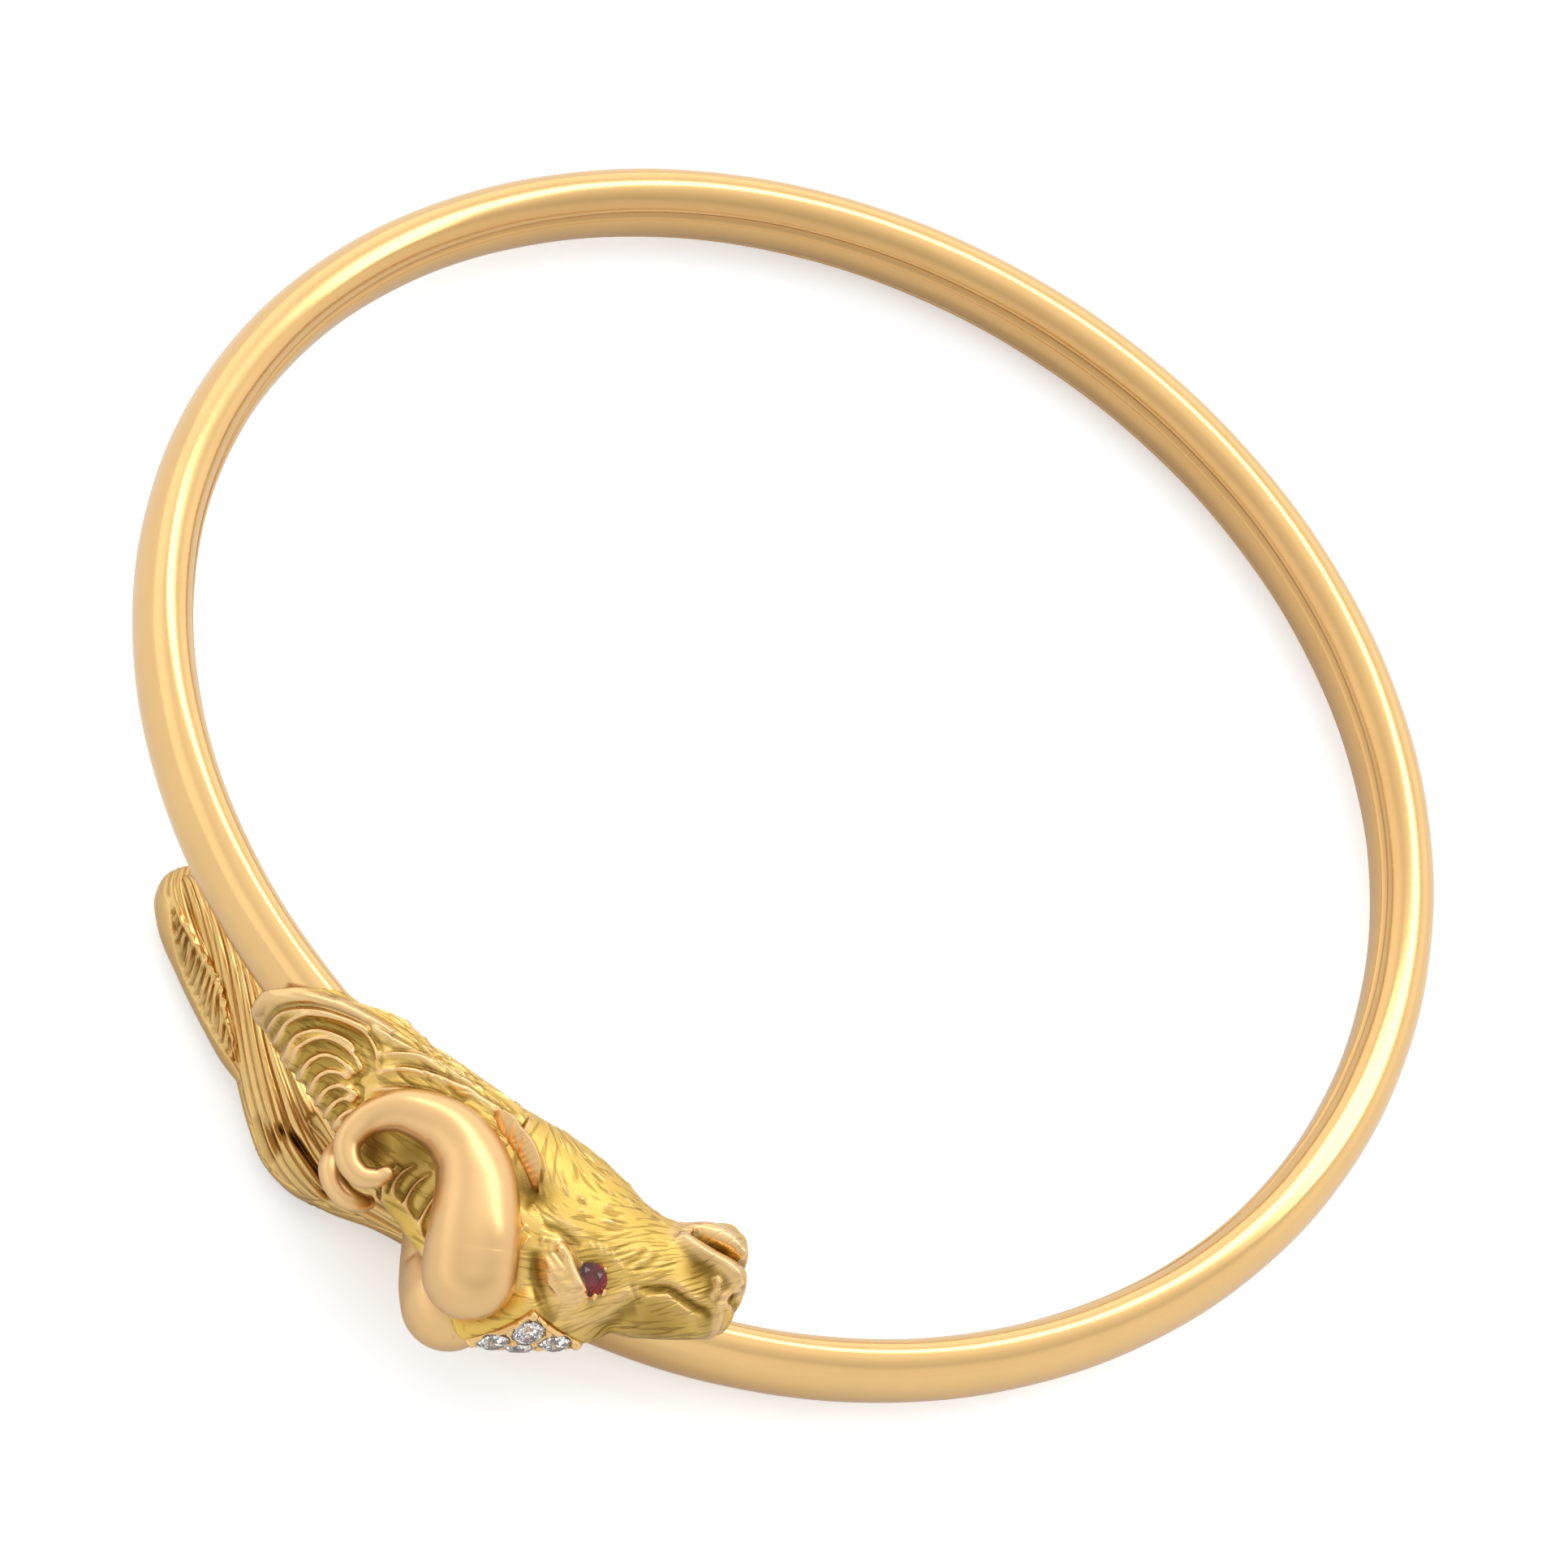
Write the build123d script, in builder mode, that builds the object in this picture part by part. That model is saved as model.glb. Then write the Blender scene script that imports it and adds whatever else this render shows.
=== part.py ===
"""Ram's head bypass bangle: an oval gold band whose ends pass side by side.

One end carries a ram's head with a scalloped neck, two curled horns and ruby eyes,
the other end a fluted tail whose tip is turned over.  The bangle lies on its side, so the
wrist opening faces up.  All sizes are millimetres.
"""
from build123d import *
from math import atan2, cos, degrees, hypot, pi, radians, sin, sqrt
from copy import copy
import os

# The ring, measured on the centre line of the band
ring_half_length = 31.3
ring_half_width = 29.4
band_thickness = 3.05
band_end_thickness = 2.6
band_height = 4.3
end_spacing = 7.2
flat_back_share = 0.27
rib_height = 2.15
crease_depth = 0.12

# Where the pieces sit, in degrees round from the back of the wrist
neck_turn = 157.0
tail_turn = -168.0
band_step = 13.0

# The ram's head, measured along, across and through
head_length = 24.7
head_depth = 10.7
head_breadth = 6.3

# The tail end
tail_length = 29.3
tail_depth = 4.3
tail_height = 4.2
flutes = 9
flute_depth = 0.3
curl_length = 10.2
curl_thickness = 1.5
curl_height = 2.7

# Horns
horn_root_radius = 2.18
horn_reach = 6.0
horn_spread = 2.8
horn_gap = 0.06
peg_radius = 0.55
peg_length = 2.2
peg_clearance = 0.05
peg_floor = 0.7

# Ears
ear_width = 1.5
ear_thickness = 0.8

# The forehead plaque.  along, out: shares of head_length and head_depth.
plaque_along = 0.672
plaque_out = 0.607
plaque_length = 5.8
plaque_width = 4.0
plaque_thickness = 3.2
plaque_taper = 12.0
plaque_rise = 0.3
plaque_slope = 29.0
plaque_bend = 2.7
grain_radius = 0.2

# Stones.  The crown, pavilion and edge are shares of the stone's radius.
stone_radius = 0.76
stone_pitch = 1.68
stone_lean = 30.0
stone_sink = 0.06
stone_sides = 8
stone_edge = 0.12
crown_height = 0.38
pavilion_depth = 0.82
table_share = 0.58
culet_share = 0.08
stone_clearance = 0.04
seat_opening = 0.8

# Eyes
eye_radius = 0.8
eye_along = 0.722
eye_out = 0.33
eye_tilt = 14.0
eye_rise = 0.1
lid_thickness = 0.45

# The scalloped ridges of the neck
ridge_radius = 0.3
ridge_reach = 2.5

# The mouth
mouth_length = 3.2
mouth_corner_line = 1.7
mouth_lip_line = 1.05
mouth_gap = 0.84
mouth_overrun = 0.6


def lift(turn):
    """How far an end has climbed or dropped: 0 at the back, 1 where the ends overlap."""
    share = min(max((abs(turn) / 180 - flat_back_share) / (1 - flat_back_share), 0), 1)
    return share * share * (3 - 2 * share)


def outward(turn):
    """The level direction that points away from the wrist, square to the band."""
    angle = radians(90 + turn)
    return Vector(cos(angle) / ring_half_length, sin(angle) / ring_half_width).normalized()


def ring_point(turn, out=0.0, up=0.0):
    """A point near the band: turned round from the back, then moved outward and up."""
    angle = radians(90 + turn)
    near_share = (1 - sin(angle)) / 2
    side = 1 if turn >= 0 else -1
    height = band_height / 2 + end_spacing / 2 * (near_share + side * lift(turn))
    centre = Vector(ring_half_length * cos(angle), ring_half_width * sin(angle), height)
    return centre + outward(turn) * out + Vector(0, 0, up)


def ring_plane(turn, out=0.0, up=0.0):
    """A plane across the band: its x points outward, its y up."""
    ahead = ring_point(turn + 0.5, out, up) - ring_point(turn - 0.5, out, up)
    return Plane(ring_point(turn, out, up), x_dir=outward(turn), z_dir=-ahead)


def turn_after(turn, distance):
    """The turn that lies a distance along the band's centre line past another turn."""
    steps = 40
    for _ in range(steps):
        angle = radians(90 + turn)
        speed = hypot(ring_half_length * sin(angle), ring_half_width * cos(angle))
        turn += degrees(distance / steps / speed)
    return turn


def head_turn(share):
    return turn_after(neck_turn, share * head_length)


def tail_turn_at(share):
    return turn_after(tail_turn, -share * tail_length)


def spread_over(start, end, step):
    count = max(round(abs(end - start) / step), 2)
    return [start + (end - start) * i / count for i in range(count + 1)]


def band_section(turn):
    """The band's oval, with the raised rib that lies against the wrist."""
    end_share = abs(turn) / 180
    half_thickness = (band_thickness + (band_end_thickness - band_thickness) * end_share) / 2
    half_height = band_height / 2
    crease_angle = degrees(atan2(rib_height / 2 / half_height,
                                 sqrt(1 - (rib_height / 2 / half_height) ** 2)))
    edge = half_thickness * cos(radians(crease_angle))
    with BuildSketch(ring_plane(turn)) as section:
        with BuildLine():
            EllipticalCenterArc((0, 0), half_thickness, half_height,
                                start_angle=crease_angle - 180, arc_size=360 - 2 * crease_angle)
            Line((-edge, rib_height / 2), (-edge + crease_depth, rib_height / 2 - crease_depth))
            ThreePointArc((-edge + crease_depth, rib_height / 2 - crease_depth),
                          (-half_thickness, 0),
                          (-edge + crease_depth, crease_depth - rib_height / 2))
            Line((-edge + crease_depth, crease_depth - rib_height / 2), (-edge, -rib_height / 2))
        make_face()
    return section.sketch


# Head sections.  along: share of head_length.  jaw, crown: shares of head_depth, inward and
# outward of the band's centre line.  breadth: share of head_breadth.  crest: how much
# narrower the section is at the crown than at the jaw.
head_rows = [
    # along, jaw, crown, breadth, crest
    (0.000, 0.135, 0.205, 0.75, 0.00),
    (0.066, 0.150, 0.240, 0.80, 0.10),
    (0.130, 0.195, 0.260, 0.84, 0.20),
    (0.240, 0.225, 0.310, 0.89, 0.35),
    (0.330, 0.238, 0.400, 0.92, 0.50),
    (0.417, 0.255, 0.467, 0.95, 0.55),
    (0.504, 0.280, 0.550, 0.98, 0.50),
    (0.600, 0.295, 0.663, 1.00, 0.40),
    (0.713, 0.240, 0.540, 0.98, 0.25),
    (0.780, 0.185, 0.425, 0.83, 0.15),
    (0.844, 0.185, 0.365, 0.70, 0.10),
    (0.910, 0.245, 0.300, 0.66, 0.05),
    (0.965, 0.248, 0.225, 0.58, 0.00),
    (1.000, 0.110, 0.120, 0.36, 0.00),
]


def head_section(row, grow):
    along, jaw, crown, breadth, crest = row
    low = -jaw * head_depth - grow
    high = crown * head_depth + grow
    half_breadth = breadth * head_breadth / 2 + grow
    points = []
    for i in range(12):
        angle = 2 * pi * i / 12
        across = half_breadth * sin(angle) * (1 - crest * cos(angle))
        points.append(((low + high) / 2 + (high - low) / 2 * cos(angle), across))
    with BuildSketch(ring_plane(head_turn(along))) as section:
        with BuildLine():
            Spline(points, periodic=True)
        make_face()
    return section.sketch


def head_form(grow=0.0):
    with BuildPart() as form:
        loft([head_section(row, grow) for row in head_rows])
    return form.part


# Tail sections.  along: share of tail_length.  inner, outer: shares of tail_depth about the
# band's centre line.  height: share of tail_height.
tail_rows = [
    # along, inner, outer, height
    (0.000, -0.300, 0.300, 1.00),
    (0.110, -0.320, 0.330, 1.03),
    (0.260, -0.340, 0.380, 1.04),
    (0.340, -0.280, 0.500, 1.02),
    (0.410, -0.210, 0.720, 1.00),
    (0.454, -0.170, 0.840, 0.98),
    (0.516, -0.180, 0.850, 0.96),
    (0.583, -0.240, 0.660, 0.93),
    (0.644, -0.320, 0.410, 0.90),
    (0.726, -0.390, 0.210, 0.86),
    (0.830, -0.380, 0.120, 0.80),
    (0.930, -0.280, 0.090, 0.68),
    (0.980, -0.200, 0.020, 0.45),
]


def tail_section(row):
    """A fluted oval: a ring of small arcs, each the back of one strand."""
    along, inner, outer, height = row
    turn = tail_turn_at(along)
    middle = (inner + outer) / 2 * tail_depth
    half_depth = (outer - inner) / 2 * tail_depth
    half_height = height * tail_height / 2
    depth = flute_depth * min(1, height)

    def rim(angle, inset):
        return (middle + (half_depth - inset) * cos(angle), (half_height - inset) * sin(angle))

    step = 2 * pi / flutes
    with BuildSketch(ring_plane(turn)) as section:
        with BuildLine():
            for i in range(flutes):
                ThreePointArc(rim(i * step, depth), rim((i + 0.5) * step, 0),
                              rim((i + 1) * step, depth))
        make_face()
    return section.sketch


# The turned-over tip.  along: share of curl_length back from the tip.  out: where its
# middle lies, as a share of tail_depth.  thick, tall: shares of its thickness and height.
curl_rows = [
    # along, out, thick, tall
    (0.00, 0.00, 0.45, 0.45),
    (0.10, 0.08, 0.75, 0.80),
    (0.30, 0.13, 0.90, 1.00),
    (0.55, 0.17, 0.95, 0.95),
    (0.80, 0.25, 0.75, 0.65),
    (1.00, 0.34, 0.25, 0.20),
]


def curl_section(row):
    along, out, thick, tall = row
    turn = turn_after(tail_turn_at(0.985), along * curl_length)
    with BuildSketch(ring_plane(turn, out * tail_depth, -0.1 * curl_height)) as section:
        Ellipse(thick * curl_thickness / 2, tall * curl_height / 2)
    return section.sketch


# The horn's centre line.  along: share of head_length from the neck.  reach: share of
# horn_reach outward of the band.  side: share of horn_spread to one side.
# girth: share of horn_root_radius.
horn_rows = [
    # along, reach, side, girth
    (0.548, 0.998, 0.66, 1.00),
    (0.532, 0.860, 0.80, 1.00),
    (0.515, 0.715, 0.93, 0.96),
    (0.476, 0.435, 1.03, 0.86),
    (0.428, 0.260, 1.03, 0.74),
    (0.368, 0.197, 0.98, 0.62),
    (0.300, 0.285, 0.86, 0.48),
    (0.266, 0.468, 0.66, 0.37),
    (0.264, 0.688, 0.52, 0.30),
    (0.287, 0.812, 0.46, 0.27),
    (0.318, 0.845, 0.46, 0.25),
    (0.340, 0.788, 0.52, 0.21),
    (0.348, 0.727, 0.60, 0.14),
]

# The ear's middle line.  along: share of head_length.  out: share of head_depth.
# side: share of head_breadth.  wide, thick: shares of its own sizes.
ear_rows = [
    # along, out, side, wide, thick
    (0.545, 0.010, 0.36, 0.60, 0.90),
    (0.505, -0.035, 0.49, 1.00, 1.00),
    (0.460, -0.075, 0.54, 0.80, 0.70),
    (0.420, -0.100, 0.55, 0.25, 0.30),
]

# Scalloped ridges: nested arcs.  along, out: the arc's centre, as shares of head_length and
# head_depth.  size: share of ridge_reach.
ridge_rows = [
    # along, out, size
    (0.115, 0.060, 1.00),
    (0.140, 0.105, 0.78),
    (0.160, 0.140, 0.56),
    (0.185, 0.180, 0.38),
]


def row_at(share):
    """The head table's row at any share of its length, between the rows given."""
    for low, high in zip(head_rows, head_rows[1:]):
        if share <= high[0]:
            part = (share - low[0]) / (high[0] - low[0])
            return [a + (b - a) * part for a, b in zip(low, high)]
    return list(head_rows[-1])


def on_head(along, out, hand):
    """The point of the head's side at a share of its length and a distance outward."""
    _, jaw, crown, breadth, crest = row_at(along)
    middle = (crown - jaw) / 2 * head_depth
    half = (crown + jaw) / 2 * head_depth
    level = max(-1, min(1, (out - middle) / half))
    across = breadth * head_breadth / 2 * sqrt(1 - level * level) * (1 - crest * level)
    return ring_point(head_turn(along), out, hand * across)


def ahead(turn):
    """The way the band runs at a turn, towards the head's nose."""
    return (ring_point(turn + 0.5) - ring_point(turn - 0.5)).normalized()


def horn_point(row, hand):
    along, reach, side = row[:3]
    return ring_point(head_turn(along), reach * horn_reach, hand * side * horn_spread)


def horn_section(i, hand):
    """A circle square to the horn's line, at one row of the table."""
    before = horn_point(horn_rows[max(i - 1, 0)], hand)
    after = horn_point(horn_rows[min(i + 1, len(horn_rows) - 1)], hand)
    here = Plane(horn_point(horn_rows[i], hand), z_dir=after - before)
    with BuildSketch(here) as section:
        Circle(horn_rows[i][3] * horn_root_radius)
    return section.sketch


def peg_plane(hand):
    """Where the hidden peg of a horn leaves the head: z points to the horn's side."""
    along, reach = horn_rows[4][:2]
    origin = ring_point(head_turn(along), reach * horn_reach, hand * peg_floor)
    return Plane(origin, x_dir=ahead(head_turn(along)), z_dir=(0, 0, hand))


def ear_section(row, hand):
    along, out, side, wide, thick = row
    turn = head_turn(along)
    origin = ring_point(turn, out * head_depth, hand * side * head_breadth)
    with BuildSketch(Plane(origin, x_dir=outward(turn), z_dir=-ahead(turn))) as section:
        Ellipse(wide * ear_width / 2, thick * ear_thickness / 2)
    return section.sketch


def ridge_path(row, hand):
    """An arc that is laid on the side of the neck, open towards the horn."""
    along, out, size = row
    points = []
    for angle in (-70, -35, 0, 35, 70, 105, 140):
        back = cos(radians(angle)) * size * ridge_reach / head_length
        inward = sin(radians(angle)) * size * ridge_reach
        points.append(on_head(along - back, out * head_depth - inward, hand))
    return Spline(points)


def mouth_points():
    """The open mouth in the head's own middle plane: distance ahead, distance inward."""
    return [(-mouth_length, mouth_corner_line),
            (mouth_overrun, mouth_lip_line - mouth_gap / 2),
            (mouth_overrun, mouth_lip_line + mouth_gap / 2)]


def plaque_plane():
    """The forehead: x runs back up the slope, y to the left, z out of the forehead."""
    turn = head_turn(plaque_along)
    slope = radians(plaque_slope)
    normal = outward(turn) * cos(slope) + ahead(turn) * sin(slope)
    back = outward(turn) * sin(slope) - ahead(turn) * cos(slope)
    return Plane(ring_point(turn, plaque_out * head_depth), x_dir=back, z_dir=normal)


def plaque_place(x, y, sink=0.0):
    """A spot on the bent plaque: x up the forehead, y round it to the left."""
    flat = plaque_plane()
    angle = y / plaque_bend
    normal = flat.z_dir * cos(angle) + flat.y_dir * sin(angle)
    axis_point = flat.from_local_coords((x, 0, plaque_rise - plaque_bend))
    return Plane(axis_point + normal * (plaque_bend - sink), x_dir=flat.x_dir, z_dir=normal)


def plaque_form(grow=0.0):
    """The lozenge that carries the stones, bent across the forehead.  It narrows inward."""
    with BuildPart() as form:
        with BuildSketch(plaque_plane().offset(plaque_rise + grow)):
            with BuildLine():
                Polyline((plaque_length / 2 + grow, 0), (0, plaque_width / 2 + grow),
                         (-plaque_length / 2 - grow, 0), (0, -plaque_width / 2 - grow), close=True)
            make_face()
        extrude(amount=-plaque_thickness, taper=plaque_taper)
        with Locations(plaque_plane().offset(plaque_rise - plaque_bend).location):
            Cylinder(plaque_bend + grow, 2 * plaque_length, rotation=(0, 90, 0),
                     mode=Mode.INTERSECT)
    return form.part


# Four stones in a lozenge, its long way up the forehead, and the grains that hold them.
half_long = stone_pitch * cos(radians(stone_lean))
half_short = stone_pitch * sin(radians(stone_lean))
stone_places = {
    "diamond_back": (half_long, 0),
    "diamond_front": (-half_long, 0),
    "diamond_left": (0, half_short),
    "diamond_right": (0, -half_short),
}
grain_places = [(x * half_long / 3, 0) for x in (1, -1)]
grain_places += [(x * half_long * 2 / 3, y * half_short) for x in (1, -1) for y in (1, -1)]


def eye_plane(hand):
    """The eye looks sideways, and a little outward."""
    turn = head_turn(eye_along)
    tilt = radians(eye_tilt)
    normal = Vector(0, 0, hand * cos(tilt)) + outward(turn) * sin(tilt)
    origin = on_head(eye_along, eye_out * head_depth, hand) + normal * eye_rise
    return Plane(origin, x_dir=ahead(turn), z_dir=normal)


def stone(radius, grow=0.0):
    """A cut stone: a flat table, eight crown facets and eight pavilion facets."""
    girdle = radius + grow
    half_edge = stone_edge * radius / 2
    with BuildPart() as cut:
        with BuildSketch(Plane.XY.offset(-pavilion_depth * radius - grow)):
            RegularPolygon(girdle * culet_share, stone_sides)
        with BuildSketch(Plane.XY.offset(-half_edge)):
            RegularPolygon(girdle, stone_sides)
        loft(ruled=True)
        with BuildSketch(Plane.XY.offset(-half_edge)):
            RegularPolygon(girdle, stone_sides)
        extrude(amount=2 * half_edge)
        with BuildSketch(Plane.XY.offset(half_edge)):
            RegularPolygon(girdle, stone_sides)
        with BuildSketch(Plane.XY.offset(crown_height * radius + grow)):
            RegularPolygon(girdle * table_share, stone_sides)
        loft(ruled=True)
    return cut.part


def seat(radius):
    """What the metal gives up for a stone: the stone grown a little, and the way out."""
    larger = stone(radius, stone_clearance)
    with BuildPart() as room:
        add(larger)
        with BuildSketch(Plane.XY):
            Circle(radius * seat_opening)
        extrude(amount=2 * radius)
    return room.part


head = head_form()
plaque = plaque_form()
head_room = head_form(horn_gap)
plaque_room = plaque_form(horn_gap)
stone_seat = seat(stone_radius)
eye_seat = seat(eye_radius)

# The metal.  Band, head, ears, plaque and tail are soldered, so they are one solid.
with BuildPart() as bangle:
    loft([band_section(turn) for turn in spread_over(tail_turn - 2, neck_turn + 2, band_step)])
    add(head)
    loft([tail_section(row) for row in tail_rows])
    loft([curl_section(row) for row in curl_rows])
    # Both sides of the head carry the same ear, eyelid and ridges.
    for hand in (1, -1):
        loft([ear_section(row, hand) for row in ear_rows])
        with Locations(eye_plane(hand).location):
            Torus(eye_radius + lid_thickness / 2, lid_thickness / 2)
        for row in ridge_rows:
            path = ridge_path(row, hand)
            with BuildSketch(Plane(path @ 0, z_dir=path % 0)):
                Circle(ridge_radius)
            sweep(path=path)
    # The plaque stands a little proud of the forehead, with a grain between the stones.
    add(plaque)
    for place in grain_places:
        with Locations(plaque_place(*place).location):
            Sphere(grain_radius)
    # The open mouth, cut from side to side.
    mouth_plane = Plane(ring_point(head_turn(1)), x_dir=ahead(head_turn(1)), z_dir=(0, 0, 1))
    with BuildSketch(mouth_plane):
        with BuildLine():
            Polyline(*mouth_points(), close=True)
        make_face()
    extrude(amount=head_breadth, both=True, mode=Mode.SUBTRACT)
    # Seats for the stones, and sockets for the horns' pegs.
    for place in stone_places.values():
        with Locations(plaque_place(*place, stone_sink).location):
            add(stone_seat, mode=Mode.SUBTRACT)
    for hand in (1, -1):
        with Locations(eye_plane(hand).location):
            add(eye_seat, mode=Mode.SUBTRACT)
        with BuildSketch(peg_plane(hand)):
            Circle(peg_radius + peg_clearance)
        extrude(amount=head_breadth, mode=Mode.SUBTRACT)


def make_horn(hand):
    """A curled horn, cut to the side of the head, with a plain peg that is hidden in it."""
    with BuildPart() as horn:
        loft([horn_section(i, hand) for i in range(len(horn_rows))])
        for row in (horn_rows[0], horn_rows[-1]):
            with Locations(horn_point(row, hand)):
                Sphere(row[3] * horn_root_radius)
        # The roots would meet over the forehead, so each stops short of the middle.
        with Locations(ring_point(head_turn(horn_rows[0][0]), horn_reach, hand * horn_gap / 2)):
            Box(head_length, head_length, 2 * horn_root_radius,
                align=(Align.CENTER, Align.CENTER, Align.MAX if hand > 0 else Align.MIN),
                mode=Mode.SUBTRACT)
        add(head_room, mode=Mode.SUBTRACT)
        add(plaque_room, mode=Mode.SUBTRACT)
        with BuildSketch(peg_plane(hand).offset(peg_clearance)):
            Circle(peg_radius)
        extrude(amount=peg_length)
    return horn


horn_left = make_horn(1)
horn_right = make_horn(-1)

pieces = {"bangle": bangle.part, "horn_left": horn_left.part, "horn_right": horn_right.part}
for name, place in stone_places.items():
    pieces[name] = stone(stone_radius).moved(plaque_place(*place, stone_sink).location)
for name, hand in (("eye_left", 1), ("eye_right", -1)):
    pieces[name] = stone(eye_radius).moved(eye_plane(hand).location)

# The origin goes to the middle of the whole, at the level of its lowest point.
box = Compound(children=[copy(piece) for piece in pieces.values()]).bounding_box()
to_origin = Vector(-(box.min.X + box.max.X) / 2, -(box.min.Y + box.max.Y) / 2, -box.min.Z)

os.makedirs("parts", exist_ok=True)
for name, piece in pieces.items():
    piece = piece.moved(Location(to_origin))
    piece.label = name
    export_step(piece, f"parts/{name}.step")
print("the ring's middle is at", to_origin, "and the whole measures", box.size)
for name, piece in pieces.items():
    print(name, round(piece.volume, 2), len(piece.solids()), piece.is_valid)
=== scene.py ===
# %% [markdown]
# # A ram's head bangle
# A stiff bangle of polished gold lies on a pale floor. Its ends pass side by side: one is a
# ram's head with curled horns, the other a fluted tail. The solids of the bangle fix where
# everything is. Here each of them gets its real surface, and the first step loads them.

# %% Load the fixed frame
import bpy
import numpy as np
from mathutils import Matrix, Vector


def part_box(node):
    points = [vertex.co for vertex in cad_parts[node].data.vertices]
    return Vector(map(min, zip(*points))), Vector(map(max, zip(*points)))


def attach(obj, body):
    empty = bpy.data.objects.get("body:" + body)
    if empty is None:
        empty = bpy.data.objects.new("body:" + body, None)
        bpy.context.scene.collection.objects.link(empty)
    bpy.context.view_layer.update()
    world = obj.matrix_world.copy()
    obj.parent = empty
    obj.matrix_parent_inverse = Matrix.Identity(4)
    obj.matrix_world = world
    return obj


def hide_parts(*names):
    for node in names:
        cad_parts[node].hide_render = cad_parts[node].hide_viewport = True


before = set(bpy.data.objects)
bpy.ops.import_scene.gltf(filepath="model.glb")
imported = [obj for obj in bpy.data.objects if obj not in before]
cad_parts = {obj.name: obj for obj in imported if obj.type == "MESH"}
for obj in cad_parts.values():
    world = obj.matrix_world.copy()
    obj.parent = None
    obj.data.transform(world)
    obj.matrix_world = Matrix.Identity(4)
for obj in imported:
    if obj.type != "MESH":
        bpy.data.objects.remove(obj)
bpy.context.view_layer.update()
MM = 0.001
print("nodes:", sorted(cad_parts))

# %% [markdown]
# ## The ring's own directions
# A goldsmith thinks along the ring: so far round from the back of the wrist, so far outward,
# so far up. Every piece below is placed that way, so the same three numbers serve the band,
# the head and the tail. The band's middle line is an ellipse, and the head end climbs until it
# passes over the tail end. Turns are in degrees, and grow toward the head. The rest is in
# millimetres, with the tables' shares of the named sizes.

# %% Ring sizes, and points near the ring
RING_HALF_LENGTH = 31.3
RING_HALF_WIDTH = 29.4
BAND_THICKNESS = 3.05
BAND_END_THICKNESS = 2.6
BAND_HEIGHT = 4.3
END_SPACING = 7.2
FLAT_BACK_SHARE = 0.27
HEAD_TURN = 157.0
TAIL_TURN = -168.0
TAIL_DROP = 0.07

low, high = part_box("bangle")
ring_x = (low.x + high.x) / 2 / MM
ring_y = high.y / MM - RING_HALF_WIDTH - BAND_THICKNESS / 2
ring_middle = np.array([ring_x, ring_y, TAIL_DROP])


def eased(share):
    """0 below 0, 1 above 1 and a smooth climb between."""
    share = np.clip(share, 0, 1)
    return share * share * (3 - 2 * share)


def lift(turn):
    """How far an end has climbed or dropped: 0 at the back, 1 where the ends pass."""
    return eased((np.abs(turn) / 180 - FLAT_BACK_SHARE) / (1 - FLAT_BACK_SHARE))


def outward(turn):
    """The level direction away from the wrist, for one turn or many."""
    angle = np.radians(90 + np.asarray(turn, float))
    way = np.stack([np.cos(angle) / RING_HALF_LENGTH, np.sin(angle) / RING_HALF_WIDTH,
                    np.zeros_like(angle)], -1)
    return way / np.linalg.norm(way, axis=-1, keepdims=True)


def ring_point(turn, out=0.0, up=0.0):
    """Points near the band: round by turn degrees, then outward and up by millimetres."""
    turn, out, up = np.broadcast_arrays(np.asarray(turn, float), out, up)
    angle = np.radians(90 + turn)
    near_share = (1 - np.sin(angle)) / 2
    side = np.where(turn >= 0, 1, -1)
    height = BAND_HEIGHT / 2 + END_SPACING / 2 * (near_share + side * lift(turn))
    line = np.stack([RING_HALF_LENGTH * np.cos(angle), RING_HALF_WIDTH * np.sin(angle), height], -1)
    above = up[..., None] * np.array([0.0, 0.0, 1.0])
    return ring_middle + line + outward(turn) * out[..., None] + above


# Lengths along the band, at turns that lie a tenth of a degree apart.
all_turns = np.linspace(-400, 400, 8001)
all_angles = np.radians(90 + all_turns)
speed = np.hypot(RING_HALF_LENGTH * np.sin(all_angles), RING_HALF_WIDTH * np.cos(all_angles))
all_lengths = np.cumsum(speed) * np.radians(all_turns[1] - all_turns[0])


def turn_after(turn, distance):
    """The turn that lies so many millimetres further along the band."""
    start = np.interp(turn, all_turns, all_lengths)
    return np.interp(start + distance, all_lengths, all_turns)


def head_point(ahead, out, side):
    """Points of the head: so far ahead of its start, outward, and to its left side."""
    return ring_point(turn_after(HEAD_TURN, ahead), out, side)


def tail_point(ahead, out, up):
    """Points of the tail: so far ahead of its start, outward and up."""
    return ring_point(turn_after(TAIL_TURN, -ahead), out, up)


def ahead_way(turn):
    """The direction along the ring, toward the nose."""
    way = ring_point(turn + 0.5) - ring_point(turn - 0.5)
    return way / np.linalg.norm(way)


print("ring middle at", ring_middle.round(3), "mm")

# %% [markdown]
# ## From rows of points to a mesh
# A cast form is easiest to describe as rows of points, like the ribs of a boat. skin takes the
# rows, joins each point to its neighbours and closes the ends. The surface is dense, because
# chased lines a tenth of a millimetre wide are real shape here, not a picture.

# %% Meshes from rows of points
def mesh_object(name, corners, faces, smooth=True):
    """An object in metres from corners in millimetres."""
    mesh = bpy.data.meshes.new(name)
    mesh.from_pydata((np.asarray(corners) * MM).tolist(), [], faces)
    mesh.update()
    mesh.polygons.foreach_set("use_smooth", [smooth] * len(mesh.polygons))
    piece = bpy.data.objects.new(name, mesh)
    bpy.context.scene.collection.objects.link(piece)
    return piece


def tell(*pieces):
    """Prints what was made."""
    for piece in pieces:
        print(piece.name + ":", len(piece.data.polygons), "faces")


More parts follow.
